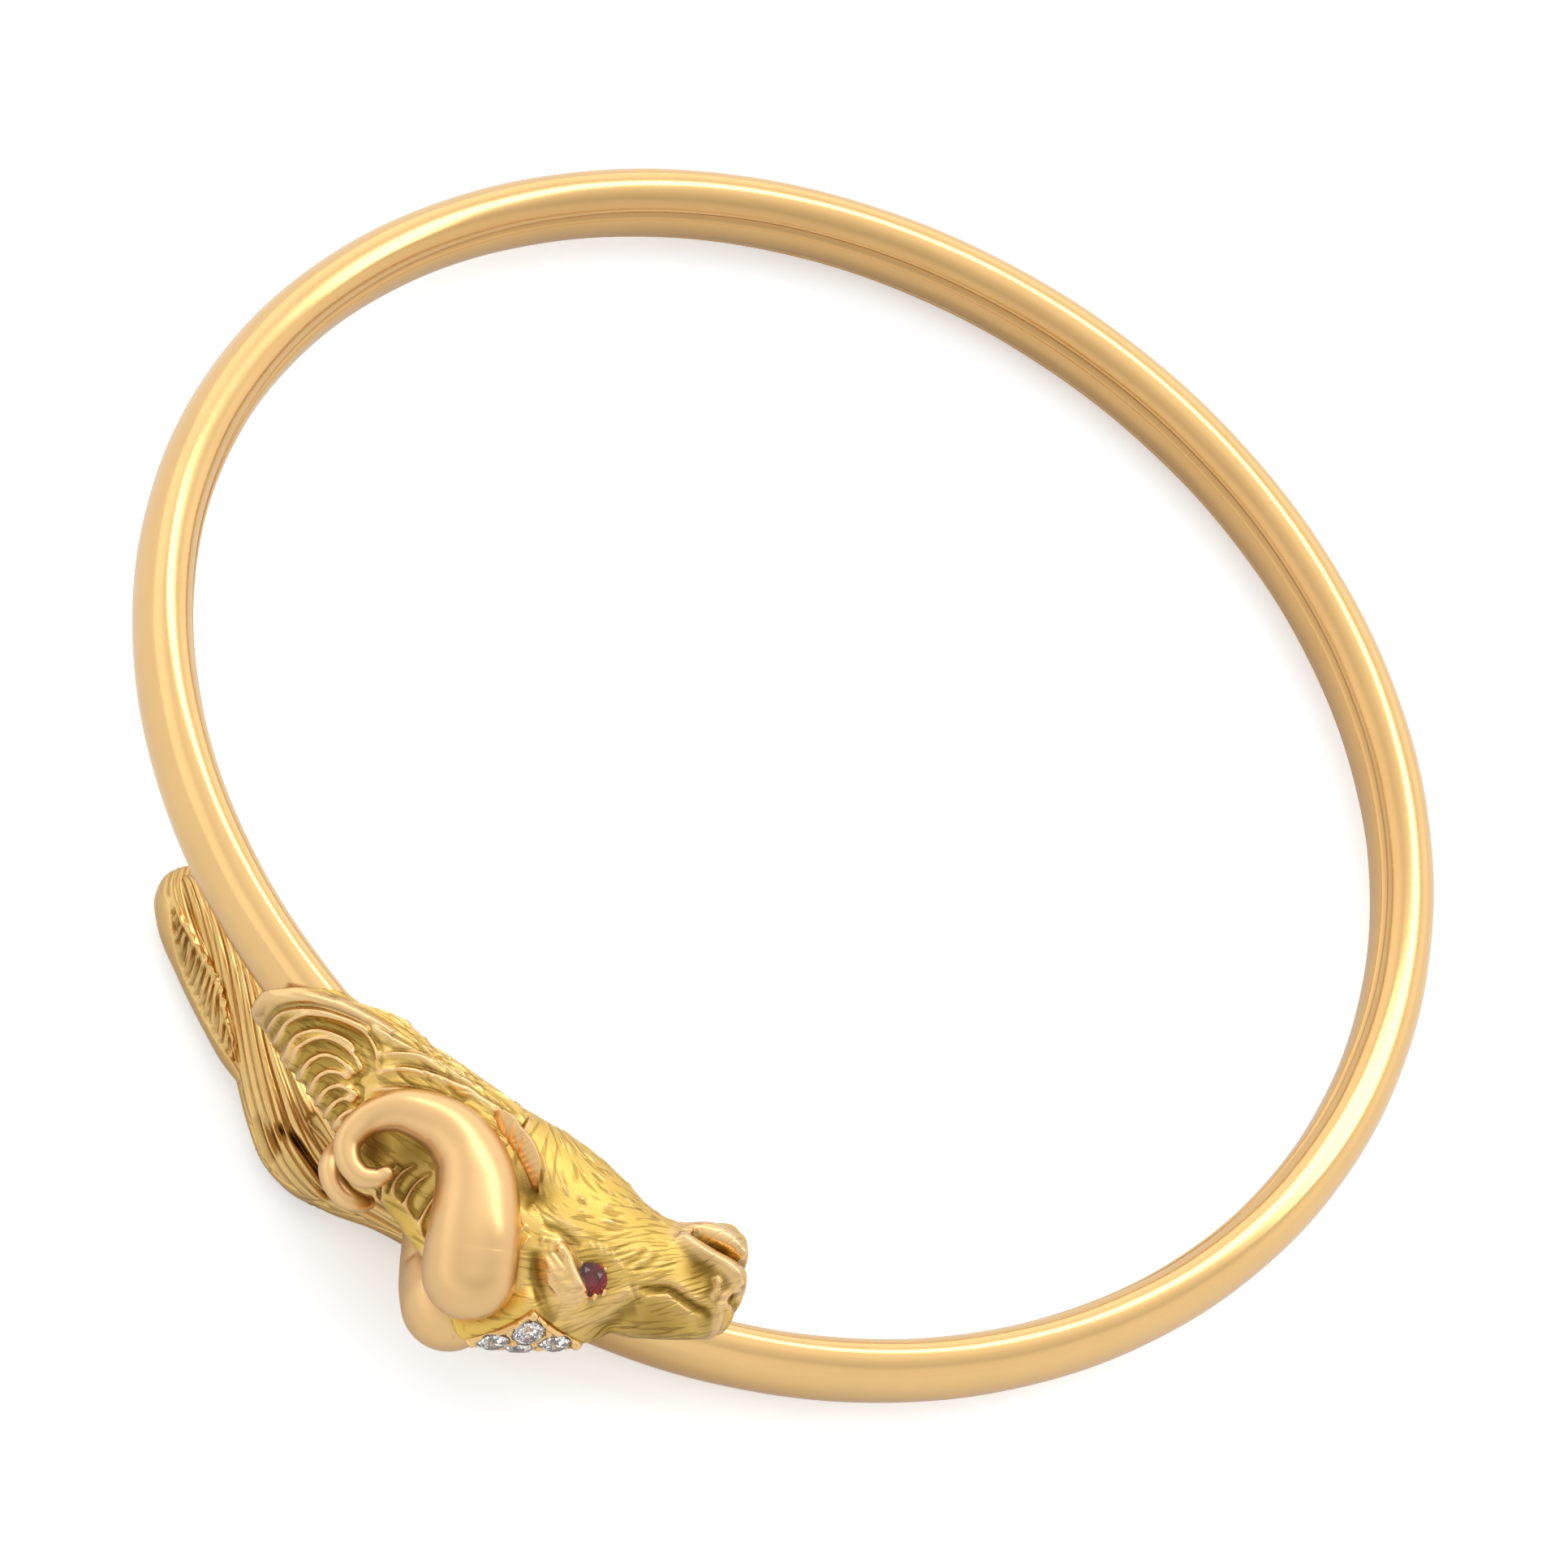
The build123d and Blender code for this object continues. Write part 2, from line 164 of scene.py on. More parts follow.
def skin(name, rows, **marks):
    """A closed skin over rows of points. marks are values per point, kept on the mesh."""
    count, around = rows.shape[:2]
    point = np.arange(count * around).reshape(count, around)
    after = np.roll(point, -1, axis=1)
    quads = np.stack([point[:-1], after[:-1], after[1:], point[1:]], -1).reshape(-1, 4)
    first, last = np.full(around, point.size), np.full(around, point.size + 1)
    start_cap = np.column_stack([first, after[0], point[0]])
    end_cap = np.column_stack([last, point[-1], after[-1]])
    corners = np.concatenate([rows.reshape(-1, 3), rows[:1].mean(1), rows[-1:].mean(1)])
    piece = mesh_object(name, corners, quads.tolist() + start_cap.tolist() + end_cap.tolist())
    for mark, values in marks.items():
        layer = piece.data.attributes.new(mark, "FLOAT", "POINT")
        flat = values.reshape(-1)
        layer.data.foreach_set("value", np.concatenate([flat, [flat[0], flat[-1]]]))
    return piece


print("a skin of 2 rows and 3 points round has", 3 + 2 * 3, "faces")

# %% Outward directions, smooth tables and drawn lines
def normals_of(rows):
    """The outward direction at each point of closed rows."""
    along = np.gradient(rows, axis=0)
    around = np.roll(rows, -1, axis=1) - np.roll(rows, 1, axis=1)
    normal = np.cross(around, along)
    normal /= np.maximum(np.linalg.norm(normal, axis=-1, keepdims=True), 1e-9)
    centre = rows.mean(1, keepdims=True)
    inward = ((rows - centre) * normal).sum(-1).mean() < 0
    return -normal if inward else normal


def along_table(table, shares):
    """All columns of a table at any share of its first, on a smooth curve through its rows."""
    table = np.array(table)
    at, values = table[:, 0], table[:, 1:]
    slope = np.gradient(values, at, axis=0)
    i = np.clip(np.searchsorted(at, shares) - 1, 0, len(at) - 2)
    gap = (at[i + 1] - at[i])[:, None]
    s = np.clip((shares - at[i])[:, None] / gap, 0, 1)
    start = (1 + 2 * s) * (1 - s) ** 2 * values[i] + s * (1 - s) ** 2 * gap * slope[i]
    end = s * s * (3 - 2 * s) * values[i + 1] - s * s * (1 - s) * gap * slope[i + 1]
    return (start + end).T


def columns(table, shares):
    """The same columns, each standing upright, so that a row of angles can cross it."""
    return [column[:, None] for column in along_table(table, shares)]


def curve_through(points, count):
    """A smooth line through a few points."""
    table = np.column_stack([np.arange(len(points)), np.array(points, float)])
    return along_table(table, np.linspace(0, len(points) - 1, count)).T


FAR_AWAY = 9.0


def near_path(path, ahead, out):
    """How far each point is from a line drawn on the piece's side, and how far along it."""
    best = np.full(out.shape, FAR_AWAY)
    share = np.zeros_like(best)
    for i, (a, b) in enumerate(zip(path, path[1:])):
        way = b - a
        along = ((ahead - a[0]) * way[0] + (out - a[1]) * way[1]) / (way @ way)
        along = np.clip(along, 0, 1)
        far = np.hypot(ahead - a[0] - along * way[0], out - a[1] - along * way[1])
        closer = far < best
        best[closer] = far[closer]
        share[closer] = ((i + along) / (len(path) - 1))[closer]
    return best, share


def round_angles(count):
    """Angles once round a section, as one row."""
    return np.linspace(0, 2 * np.pi, count, endpoint=False)[None, :]


def backs(phase, power=0.6):
    """1 on the round backs of a fluted surface and 0 in the sharp creases between them."""
    return np.abs(np.sin(phase)) ** power


def blurred(values, reach):
    """Values averaged with their neighbours, round the rows and along them."""
    steps = np.arange(-reach, reach + 1)
    values = sum(np.roll(values, step, axis=1) for step in steps) / len(steps)
    rows = np.arange(len(values))
    return sum(values[np.clip(rows + step, 0, len(rows) - 1)] for step in steps) / len(steps)


print("halfway through a table of 0, 1 and 4:", columns([(0, 0), (1, 1), (2, 4)], [1.5])[0].item())

# %% [markdown]
# ## The band
# The band is drawn gold wire of an oval section. Inside, against the wrist, two fine creases
# leave a raised rib. The creases and the side toward the wrist are darkened with painted shade.
# A drawn and hand-polished surface is never quite even, so its rows are moved by a hundredth of
# a millimetre, and the reflections waver as on the real band.

# %% The band
BAND_INTO_TAIL = 2.0
BAND_INTO_HEAD = 8.0
BAND_ROWS = 420
BAND_AROUND = 144
RIB_HEIGHT = 2.15
CREASE_DEPTH = 0.20
CREASE_WIDTH = 0.15
CREASE_SHADE = 0.7
WAVER = 0.012
INSIDE_SHADE = 0.35


def make_band():
    turn = np.linspace(TAIL_TURN - BAND_INTO_TAIL, HEAD_TURN + BAND_INTO_HEAD, BAND_ROWS)[:, None]
    angle = round_angles(BAND_AROUND)
    end_share = np.abs(turn) / 180
    half = (BAND_THICKNESS + (BAND_END_THICKNESS - BAND_THICKNESS) * end_share) / 2
    out = half * np.cos(angle)
    up = BAND_HEIGHT / 2 * np.sin(angle)
    from_crease = np.abs(np.abs(up) - RIB_HEIGHT / 2)
    crease = np.exp(-(from_crease / CREASE_WIDTH) ** 2) * (out < 0)
    out = out + CREASE_DEPTH * crease
    out = out + WAVER * np.sin(turn * 0.31 + 2 * angle) * np.sin(turn * 0.17 + angle)
    # Painted shade: the side toward the wrist is darker than the outside, away from the ends.
    dim = INSIDE_SHADE * eased(-np.cos(angle) * 1.6) * eased(1.5 - end_share * 2)
    # The creases are marked for painted shade as well.
    return skin("band", ring_point(turn, out, up), crease=np.maximum(crease * CREASE_SHADE, dim))


band = make_band()
tell(band)

# %% [markdown]
# ## The head's plain form
# A cast head starts as a smooth lump, before any chasing. It is a row of teardrop sections
# along the ring: the jaw lies toward the wrist, the crown outward, and the crown is narrower.
# The sections are close together, so that the relief that comes next has points to move.

# %% The head's sections
HEAD_LENGTH = 24.7
HEAD_DEPTH = 10.7
HEAD_BREADTH = 6.3
NECK_END = 11.9
head_rows = [
    # along, jaw, crown, breadth, crest
    (0.000, 0.135, 0.205, 0.75, 0.00),
    (0.066, 0.150, 0.240, 0.80, 0.10),
    (0.130, 0.195, 0.260, 0.84, 0.20),
    (0.240, 0.225, 0.310, 0.89, 0.35),
    (0.330, 0.238, 0.400, 0.92, 0.50),
    (0.417, 0.255, 0.467, 0.95, 0.55),
    (0.504, 0.280, 0.550, 0.98, 0.50),
    (0.600, 0.295, 0.663, 1.00, 0.40),
    (0.713, 0.240, 0.540, 0.98, 0.25),
    (0.780, 0.185, 0.425, 0.83, 0.15),
    (0.844, 0.185, 0.365, 0.70, 0.10),
    (0.910, 0.245, 0.300, 0.66, 0.05),
    (0.965, 0.248, 0.225, 0.58, 0.00),
    (0.988, 0.185, 0.175, 0.46, 0.00),
    (1.000, 0.050, 0.060, 0.16, 0.00),
]
print("head:", HEAD_LENGTH, "mm long,", HEAD_DEPTH, "mm deep")

# %% [markdown]
# ## Chasing the form
# A chaser pushes a surface up and down with punches. Here the relief is one number for each
# point, the sum of ridges, bosses and strokes, and the points move out by it at the end. What
# stands proud is marked as polished. What lies deep, the grooves, the cut strokes and a few
# places in shadow are marked for painted shade, which the gold darkens. A mark's place is told
# by two distances, ahead of the head's start and out from the band's middle line, as a side
# view shows them. So both sides of the head get the same relief.

# %% A form to chase
HEAD_AROUND = 400
BAND_STEP = 0.12
BAND_FADE = 1.6
LINE_POINTS = 16
FULL_GROOVE = 0.3
POLISH_SPREAD = 1.3
ARC_POINTS = 24
ARC_FADE = 0.15
CHANNEL_DEPTH = 0.7
CHANNEL_WIDTH = 0.35
STROKE_SWING = 7
STROKE_TONE = 0.4
PROUD_REACH = 6
PROUD_RISE = 0.05
PROUD_SHINE = 0.9
GROOVE_SHADE = 0.35
DEEP_SHADE = 0.62


class Form:
    """Rows of the head's plain surface, with the numbers that relief is drawn by."""

    def __init__(self, start, end, count):
        """start is one distance ahead, or one for each place round the section."""
        angle = round_angles(HEAD_AROUND)
        start = start + 0 * angle
        self.ahead = start + (end - start) * np.linspace(0, 1, count)[:, None]
        table = along_table(head_rows, self.ahead.ravel() / HEAD_LENGTH)
        jaw, crown, breadth, crest = [c.reshape(self.ahead.shape) for c in table]
        out = (crown - jaw + (crown + jaw) * np.cos(angle)) / 2 * HEAD_DEPTH
        side = breadth * HEAD_BREADTH / 2 * np.sin(angle) * (1 - crest * np.cos(angle))
        # On the wrist's side the neck leaves the band without a step.
        sunk = eased((0.5 - np.cos(angle)) / 1.2) * eased(1 - (self.ahead - start) / BAND_FADE)
        sunk = sunk * (start < NECK_END - 1)
        self.out = out + sunk * ((BAND_END_THICKNESS / 2 + BAND_STEP) * np.cos(angle) - out)
        self.side = side + sunk * ((BAND_HEIGHT / 2 + BAND_STEP) * np.sin(angle) - side)
        self.rows = head_point(self.ahead, self.out, self.side)
        self.normals = normals_of(self.rows)
        step = np.linalg.norm(np.roll(self.rows, -1, axis=1) - self.rows, axis=-1)
        girth = np.concatenate([np.zeros((count, 1)), np.cumsum(step, axis=1)[:, :-1]], axis=1)
        self.girth = np.minimum(girth, girth[:, -1:] - girth)
        self.right = self.side < 0
        self.relief, self.crease, self.polish, self.shadow = np.zeros((4, *self.out.shape))
        self.hair = self.ahead, self.girth

    def line(self, points, width, height, taper=0.25, shine=0.0):
        """Raises a rounded ridge along a line, or presses a groove if height is below 0."""
        path = curve_through(points, LINE_POINTS) if len(points) > 2 else np.array(points)
        far, share = near_path(path, self.ahead, self.out)
        ends = np.clip(np.minimum(share, 1 - share) / taper, 0, 1) ** 0.5
        shape = np.exp(-(far / width) ** 2) * ends
        self.relief += height * shape
        # A groove is marked for painted shade.
        if height < 0:
            self.crease = np.maximum(self.crease, shape * min(1, -height / FULL_GROOVE))
        polish = shine * np.exp(-(far / width / POLISH_SPREAD) ** 2)
        self.polish = np.maximum(self.polish, polish)

    def nest(self, arcs, height, crest=0.07, width=0.19, cap=np.inf):
        """Nested ridges with hollow channels between them. The ridges stay level."""
        total = 0
        for arc in arcs:
            far, share = near_path(curve_through(arc, ARC_POINTS), self.ahead, self.out)
            ends = np.clip((1 - share) / ARC_FADE, 0, 1) ** 0.5
            total = total + ends * np.exp(-(np.hypot(far, crest) - crest) / width)
        total = np.minimum(total, cap)
        channels = 1 - np.exp(-(total / CHANNEL_WIDTH) ** 2)
        self.relief += height * (total - CHANNEL_DEPTH * channels)

    def bump(self, ahead, out, radius, height, shine=0.0):
        """Raises a soft boss, or presses a bowl if height is below 0."""
        far = np.hypot(self.ahead - ahead, self.out - out)
        shape = np.exp(-(far / radius) ** 2)
        self.relief += height * shape
        self.polish = np.maximum(self.polish, shine * shape)

    def paint_shade(self, ahead, out, radius, amount):
        """Paints shade round a place that lies in shadow."""
        far = np.hypot(self.ahead - ahead, self.out - out)
        self.shadow = np.maximum(self.shadow, amount * np.exp(-(far / radius) ** 2))

    def strokes(self, slope, count, seed, ahead, girth, length, width, depth):
        """Short graver strokes, raised if depth is below 0. slope gives their direction."""
        rng = np.random.default_rng(seed)
        for _ in range(count):
            at = rng.uniform(*ahead)
            around = rng.uniform(*girth)
            angle = np.radians(slope(at, around) + rng.normal(0, STROKE_SWING))
            reach = length * rng.uniform(0.6, 1.3)
            deep = depth * rng.uniform(0.5, 1.2)
            thick = width * rng.uniform(0.7, 1.3)
            mirrored = rng.random() < 0.5
            inside = (self.ahead.max(1) > at - reach) & (self.ahead.min(1) < at + reach)
            i, k = np.nonzero(inside)[0][[0, -1]] + [0, 1]
            da = self.ahead[i:k] - at
            dg = self.girth[i:k] - around
            along = da * np.cos(angle) + dg * np.sin(angle)
            off = -da * np.sin(angle) + dg * np.cos(angle)
            shape = np.exp(-(off / thick) ** 2) * np.exp(-(along / reach * 1.6) ** 4)
            shape *= self.right[i:k] == mirrored
            self.relief[i:k] -= deep * shape
            # Cut strokes are marked for painted shade, raised ones as polished.
            mark = self.crease if depth > 0 else self.polish
            mark[i:k] = np.maximum(mark[i:k], STROKE_TONE * shape)

    def finish(self, name, fitted=None):
        """The skin. fitted is a function that moves its points to make room for something."""
        # What stands proud of its surroundings gets polished, what lies deep gets painted shade.
        proud = (self.relief - blurred(self.relief, PROUD_REACH)) / PROUD_RISE
        deep = np.clip(-proud, 0, 1)
        polish = np.clip(np.maximum(self.polish, PROUD_SHINE * proud), 0, 1)
        crease = np.clip(GROOVE_SHADE * self.crease + DEEP_SHADE * deep + self.shadow, 0, 1)
        rows = self.rows + self.normals * self.relief[..., None]
        rows = fitted(rows) if fitted else rows
        along, across = self.hair
        return skin(name, rows, crease=crease, polish=polish, along=along, across=across)


print("a form has", HEAD_AROUND, "points round each section")

# %% [markdown]
# ## The neck
# Where the head meets the band, a thick smooth rim is followed by nested scallops, each an
# arc that opens towards the horn and is smaller than the one before. They are as uneven as
# handwork is, so each arc has its own few points. The fleece between the jaw and the horn is
# cut with long strokes, and under the horn's loop the locks spread like the veins of a leaf.

# %% Lines of the neck
neck_start = [
    # how far outward in the section, from -1 to 1, and how far ahead the neck begins
    (-1.00, 2.85), (-0.77, 2.40), (-0.50, 1.85), (-0.20, 1.25), (0.35, 0.30), (0.75, -0.40),
    (0.90, -0.72), (1.00, -0.70),
]
# Each point of a line is (ahead, out).
rim_arc = [(-0.30, 2.60), (-0.50, 2.07), (-0.12, 1.78), (0.67, 1.25), (1.61, 0.69), (2.47, 0.25),
           (3.43, -0.11), (4.6, -0.45)]
scallops = [
    [(0.62, 2.60), (0.50, 2.25), (0.74, 1.93), (1.27, 1.48), (2.01, 1.01), (2.94, 0.56), (3.9, 0.2)],
    [(1.40, 2.70), (1.09, 2.34), (1.12, 2.05), (1.43, 1.59), (1.97, 1.19), (2.61, 0.83),
     (3.30, 0.55), (4.0, 0.42), (4.8, 0.70), (5.45, 1.30)],
    [(2.10, 2.75), (1.80, 2.42), (1.84, 2.14), (2.20, 1.70), (2.69, 1.40), (3.40, 1.15), (4.1, 1.1)],
    [(2.70, 2.85), (2.25, 2.52), (2.22, 2.30), (2.46, 1.88), (2.89, 1.55), (3.54, 1.36),
     (4.18, 1.34), (4.75, 1.50), (5.05, 1.75)],
    [(3.40, 2.95), (3.01, 2.68), (2.97, 2.42), (3.18, 2.10), (3.60, 1.88), (4.19, 1.78), (4.8, 1.85)],
    [(4.10, 3.05), (3.74, 2.79), (3.72, 2.52), (3.95, 2.28), (4.40, 2.08), (5.1, 2.05)],
    [(4.80, 3.20), (4.41, 2.94), (4.36, 2.70), (4.60, 2.45), (5.05, 2.30), (5.6, 2.3)],
    [(5.45, 3.35), (5.04, 3.06), (5.00, 2.82), (5.25, 2.58), (5.80, 2.48)],
    [(6.05, 3.45), (5.65, 3.18), (5.62, 2.95), (5.90, 2.72), (6.40, 2.65)],
]
fleece_ridges = [
    [(3.15, 0.37), (3.92, 0.10), (4.82, -0.29), (5.82, -0.55), (6.9, -1.0), (8.4, -1.4)],
    [(1.66, 0.38), (2.37, -0.37), (3.35, -1.07), (4.46, -1.62), (5.8, -1.9)],
    [(4.68, 0.81), (5.24, 0.15), (6.0, -0.35), (7.2, -0.8), (9.0, -1.1)],
    [(5.26, 1.24), (5.87, 0.53), (6.76, -0.02), (7.83, -0.45), (9.4, -0.75), (11.4, -1.0)],
    [(5.6, 1.9), (6.5, 1.2), (7.6, 0.6), (9.0, 0.1)],
    [(6.4, -1.7), (8.0, -1.9), (9.8, -1.9), (11.6, -1.9)],
]
locks = [
    [(11.70, 5.50), (10.95, 5.20), (10.29, 4.90), (9.66, 4.75), (9.0, 4.72)],
    [(10.95, 5.20), (10.49, 4.82), (10.00, 4.50), (9.80, 4.10), (9.77, 3.60), (10.0, 2.9)],
    [(10.29, 4.90), (9.74, 4.68), (9.31, 4.39), (9.04, 4.00), (9.05, 3.50), (9.3, 3.0)],
    [(11.60, 5.42), (11.18, 5.15), (10.89, 4.80), (10.75, 4.30), (10.7, 3.7), (10.8, 3.1)],
    [(9.66, 4.75), (9.15, 4.59), (8.79, 4.30), (8.65, 3.90), (8.7, 3.4)],
    [(11.75, 5.2), (11.5, 4.7), (11.4, 4.1), (11.4, 3.4)],
]
neck_shadows = [
    # ahead, out, radius, amount
    (8.9, 2.7, 1.3, 0.9),
    (7.5, 3.5, 0.9, 1.0),
    (9.6, 3.6, 1.5, 0.5),
]
fleece_strokes = [
    # count, seed, ahead from and to, girth from and to, length, width, depth
    (300, 3, (3.0, 11.8), (5.6, 11.5), 1.1, 0.065, 0.07),
    (90, 4, (6.2, 11.8), (3.8, 6.0), 0.9, 0.06, 0.05),
    (150, 5, (4.0, 11.8), (5.8, 10.5), 0.5, 0.075, -0.07),
]
print("neck:", len(scallops), "scallops,", len(fleece_ridges), "ridges,", len(locks), "locks")

# %% Chase the neck
NECK_ROWS = 215
FLEECE_LEAN = 0.45


def fleece_slope(ahead, girth):
    """Which way the fleece lies, in degrees."""
    return 20 + 10 * np.sin(ahead * 0.9)


def make_neck():
    start = np.interp(np.cos(round_angles(HEAD_AROUND)), *zip(*neck_start))
    form = Form(start, NECK_END, NECK_ROWS)
    form.hair = form.ahead, form.girth - FLEECE_LEAN * form.ahead
    form.line(rim_arc, 0.36, 0.34, taper=0.1, shine=1.0)
    form.nest(scallops, 0.46)
    form.nest(locks, 0.36, crest=0.05, width=0.13, cap=1.05)
    for ridge in fleece_ridges:
        form.line(ridge, 0.22, 0.17, shine=0.5)
        form.line([(ahead + 0.15, out - 0.32) for ahead, out in ridge], 0.12, -0.13)
    for shadow in neck_shadows:
        form.paint_shade(*shadow)
    for strokes in fleece_strokes:
        form.strokes(fleece_slope, *strokes)
    return form.finish("neck")


neck = make_neck()
tell(neck)

# %% [markdown]
# ## Where the forehead plaque sits
# A plaque with four stones is bent over the forehead like a saddle. Its bend is part of a
# cylinder that runs up the forehead, so a place on it is told by three numbers: up the
# forehead, round it and out of it. The head is shaped to it, so its place comes first.

# %% The plaque's place
PLAQUE_LENGTH = 5.5
PLAQUE_WIDTH = 4.3
PLAQUE_ALONG = 0.672
PLAQUE_OUT = 0.607
PLAQUE_SLOPE = 29.0
PLAQUE_RISE = 0.3
PLAQUE_BEND = 2.7
BANK_REACH = 0.85
BANK_DROP = 0.12
BED_DEPTH = 1.2

plaque_turn = turn_after(HEAD_TURN, PLAQUE_ALONG * HEAD_LENGTH)
slope = np.radians(PLAQUE_SLOPE)
forward = ahead_way(plaque_turn)
plaque_x = outward(plaque_turn) * np.sin(slope) - forward * np.cos(slope)
plaque_z = outward(plaque_turn) * np.cos(slope) + forward * np.sin(slope)
plaque_y = np.cross(plaque_z, plaque_x)
plaque_foot = ring_point(plaque_turn, PLAQUE_OUT * HEAD_DEPTH)
plaque_axis = plaque_foot + plaque_z * (PLAQUE_RISE - PLAQUE_BEND)


def on_plaque(x, y, rise=0.0):
    """Points of the bent forehead: x up it, y round it to the left, rise out of it."""
    x, y, rise = [v[..., None] for v in np.broadcast_arrays(np.asarray(x, float), y, rise)]
    angle = y / PLAQUE_BEND
    away = np.cos(angle) * plaque_z + np.sin(angle) * plaque_y
    return plaque_axis + x * plaque_x + (PLAQUE_BEND + rise) * away


def bed_for_plaque(points):
    """Sinks the head under the plaque, so the stones have room, and banks it up to the rim."""
    from_axis = points - plaque_axis
    x, y, z = from_axis @ plaque_x, from_axis @ plaque_y, from_axis @ plaque_z
    radius = np.hypot(y, z)
    edge = np.abs(x) / PLAQUE_LENGTH + np.abs(PLAQUE_BEND * np.arctan2(y, z)) / PLAQUE_WIDTH
    bank = eased((BANK_REACH - edge) / (BANK_REACH - 0.5))
    new = radius + bank * (np.maximum(radius, PLAQUE_BEND - BANK_DROP) - radius)
    sunk = eased((0.5 - edge) / 0.05)
    new = new + sunk * (np.minimum(new, PLAQUE_BEND - BED_DEPTH) - new)
    away = (y / radius)[..., None] * plaque_y + (z / radius)[..., None] * plaque_z
    return points + (new - radius)[..., None] * away


print("plaque axis at", plaque_axis.round(2), "mm")

# %% [markdown]
# ## The head
# The face is read from the side. A smooth polished lid bulges behind the eye, with small folds
# under its rim. A crease runs from the eye to the nose, and below it the bone of the nose
# stands out. The mouth is a cut between two polished lips. Short strokes and raised hairs
# cover the cheek, in the way that the hair lies.

# %% Lines of the head
lid_rim = [(15.99, 2.97), (16.49, 3.18), (16.88, 3.50), (17.29, 3.75), (17.72, 3.92), (18.19, 4.02)]
lid_groove = [(15.3, 3.6), (15.60, 4.28), (15.95, 4.80), (16.50, 5.30), (17.2, 5.55)]
lower_fold = [(17.21, 5.13), (17.75, 5.08), (18.33, 4.76), (18.80, 4.21), (19.11, 3.75),
              (19.44, 3.29), (19.72, 2.94)]
under_fold = [(17.7, 5.7), (18.7, 5.25), (19.3, 4.65), (19.75, 3.95), (20.2, 3.4)]
brow_groove = [(15.0, 2.55), (15.69, 2.41), (16.24, 2.49), (16.9, 2.58)]
nose_crease = [(19.9, 2.75), (20.71, 2.32), (21.22, 2.10), (21.79, 2.18), (22.58, 2.28),
               (23.49, 2.22)]
nose_bone = [(20.2, 3.2), (21.4, 2.85), (22.8, 2.75), (23.5, 2.7)]
upper_lip = [(20.83, -0.60), (21.46, -0.36), (22.08, -0.16), (22.82, 0.0), (23.41, 0.20),
             (23.83, 0.47), (24.14, 0.75)]
mouth = [(21.4, -1.22), (22.4, -1.04), (23.3, -0.80), (24.8, -0.45)]
jaw_rim = [(20.9, -1.45), (21.98, -1.84), (22.67, -1.79), (23.30, -1.55), (23.83, -1.16),
           (24.3, -0.86)]
nose_fold = [(22.92, 0.75), (23.18, 1.18), (23.05, 1.72)]
nose_wing = [(24.21, 0.72), (23.77, 1.20), (23.42, 1.58)]
nostril_ridge = [(23.40, 1.86), (23.66, 1.66), (24.15, 1.62)]
lid_folds = [[(15.9, 3.45), (16.7, 3.85)], [(15.8, 3.75), (16.4, 4.15)], [(16.2, 4.4), (16.9, 4.7)]]
cheek_folds = [[(18.9, 2.3), (19.3, 1.7), (19.6, 1.0)], [(19.4, 2.2), (19.9, 1.6), (20.2, 0.9)],
               [(14.1, 2.4), (14.0, 1.4), (13.7, 0.4)]]
jaw_root = [(11.75, -1.9), (11.9, -0.8), (11.8, 0.1)]
head_lines = [
    # line, width, height, taper, shine
    (lid_groove, 0.30, -0.20, 0.30, 0.0),
    (lid_rim, 0.25, 0.27, 0.12, 1.0),
    (lower_fold, 0.34, 0.20, 0.25, 0.5),
    (under_fold, 0.35, -0.14, 0.25, 0.0),
    (brow_groove, 0.20, -0.14, 0.25, 0.0),
    (nose_crease, 0.19, -0.20, 0.25, 0.0),
    (nose_bone, 0.38, 0.10, 0.25, 0.0),
    (nose_fold, 0.16, 0.18, 0.25, 0.6),
    (nose_wing, 0.20, 0.16, 0.25, 1.0),
    (nostril_ridge, 0.13, 0.16, 0.25, 1.0),
    (upper_lip, 0.38, 0.30, 0.10, 1.0),
    (mouth, 0.27, -1.00, 0.35, 0.0),
    (jaw_rim, 0.34, 0.15, 0.30, 1.0),
    (jaw_root, 0.12, -0.25, 0.25, 0.0),
]
head_lines += [(fold, 0.09, 0.06, 0.25, 1.0) for fold in lid_folds]
head_lines += [(fold, 0.16, -0.07, 0.25, 0.0) for fold in cheek_folds]
print("head:", len(head_lines), "lines")

# %% Bosses, raised hairs and shadows of the head
head_bosses = [
    # ahead, out, radius, height, shine
    (14.10, 1.60, 0.80, -0.35, 0.0),
    (16.45, 4.00, 0.80, 0.30, 0.9),
    (17.15, 4.45, 0.80, 0.30, 0.9),
    (17.50, 4.22, 0.52, 0.34, 0.9),
    (18.05, 3.25, 0.75, -0.30, 0.0),
    (22.15, 0.72, 0.75, -0.22, 0.0),
    (23.60, 0.36, 0.72, 0.34, 1.0),
    (24.15, 1.30, 0.28, -0.42, 0.0),
    (23.65, 2.25, 0.42, 0.24, 1.0),
]
raised_hairs = [
    # where each hair by the eye starts, and how far and which way it runs
    (15.35, 2.95, 0.50, 84), (15.65, 2.88, 0.62, 70), (15.95, 2.86, 0.45, 64), (16.2, 2.9, 0.55, 50),
    (14.8, 3.2, 0.60, 92), (14.45, 2.9, 0.45, 104), (17.1, 2.15, 0.40, 38), (17.45, 2.02, 0.50, 40),
    (17.8, 1.98, 0.42, 46), (18.2, 1.95, 0.50, 52), (18.55, 2.1, 0.35, 60),
]
for ahead, out, reach, way in raised_hairs:
    hair_end = (ahead + reach * np.cos(np.radians(way)), out + reach * np.sin(np.radians(way)))
    head_lines.append(([(ahead, out), hair_end], 0.07, 0.05, 0.25, 0.3))
head_shadows = [
    # ahead, out, radius, amount
    (13.5, 1.3, 1.0, 0.7),
    (15.4, 4.2, 0.6, 0.2),
    (21.2, 3.8, 1.8, 0.6),
    (19.4, 4.9, 0.9, 0.5),
    (22.2, 0.9, 0.9, 0.6),
    (23.0, 2.5, 0.6, 0.4),
]
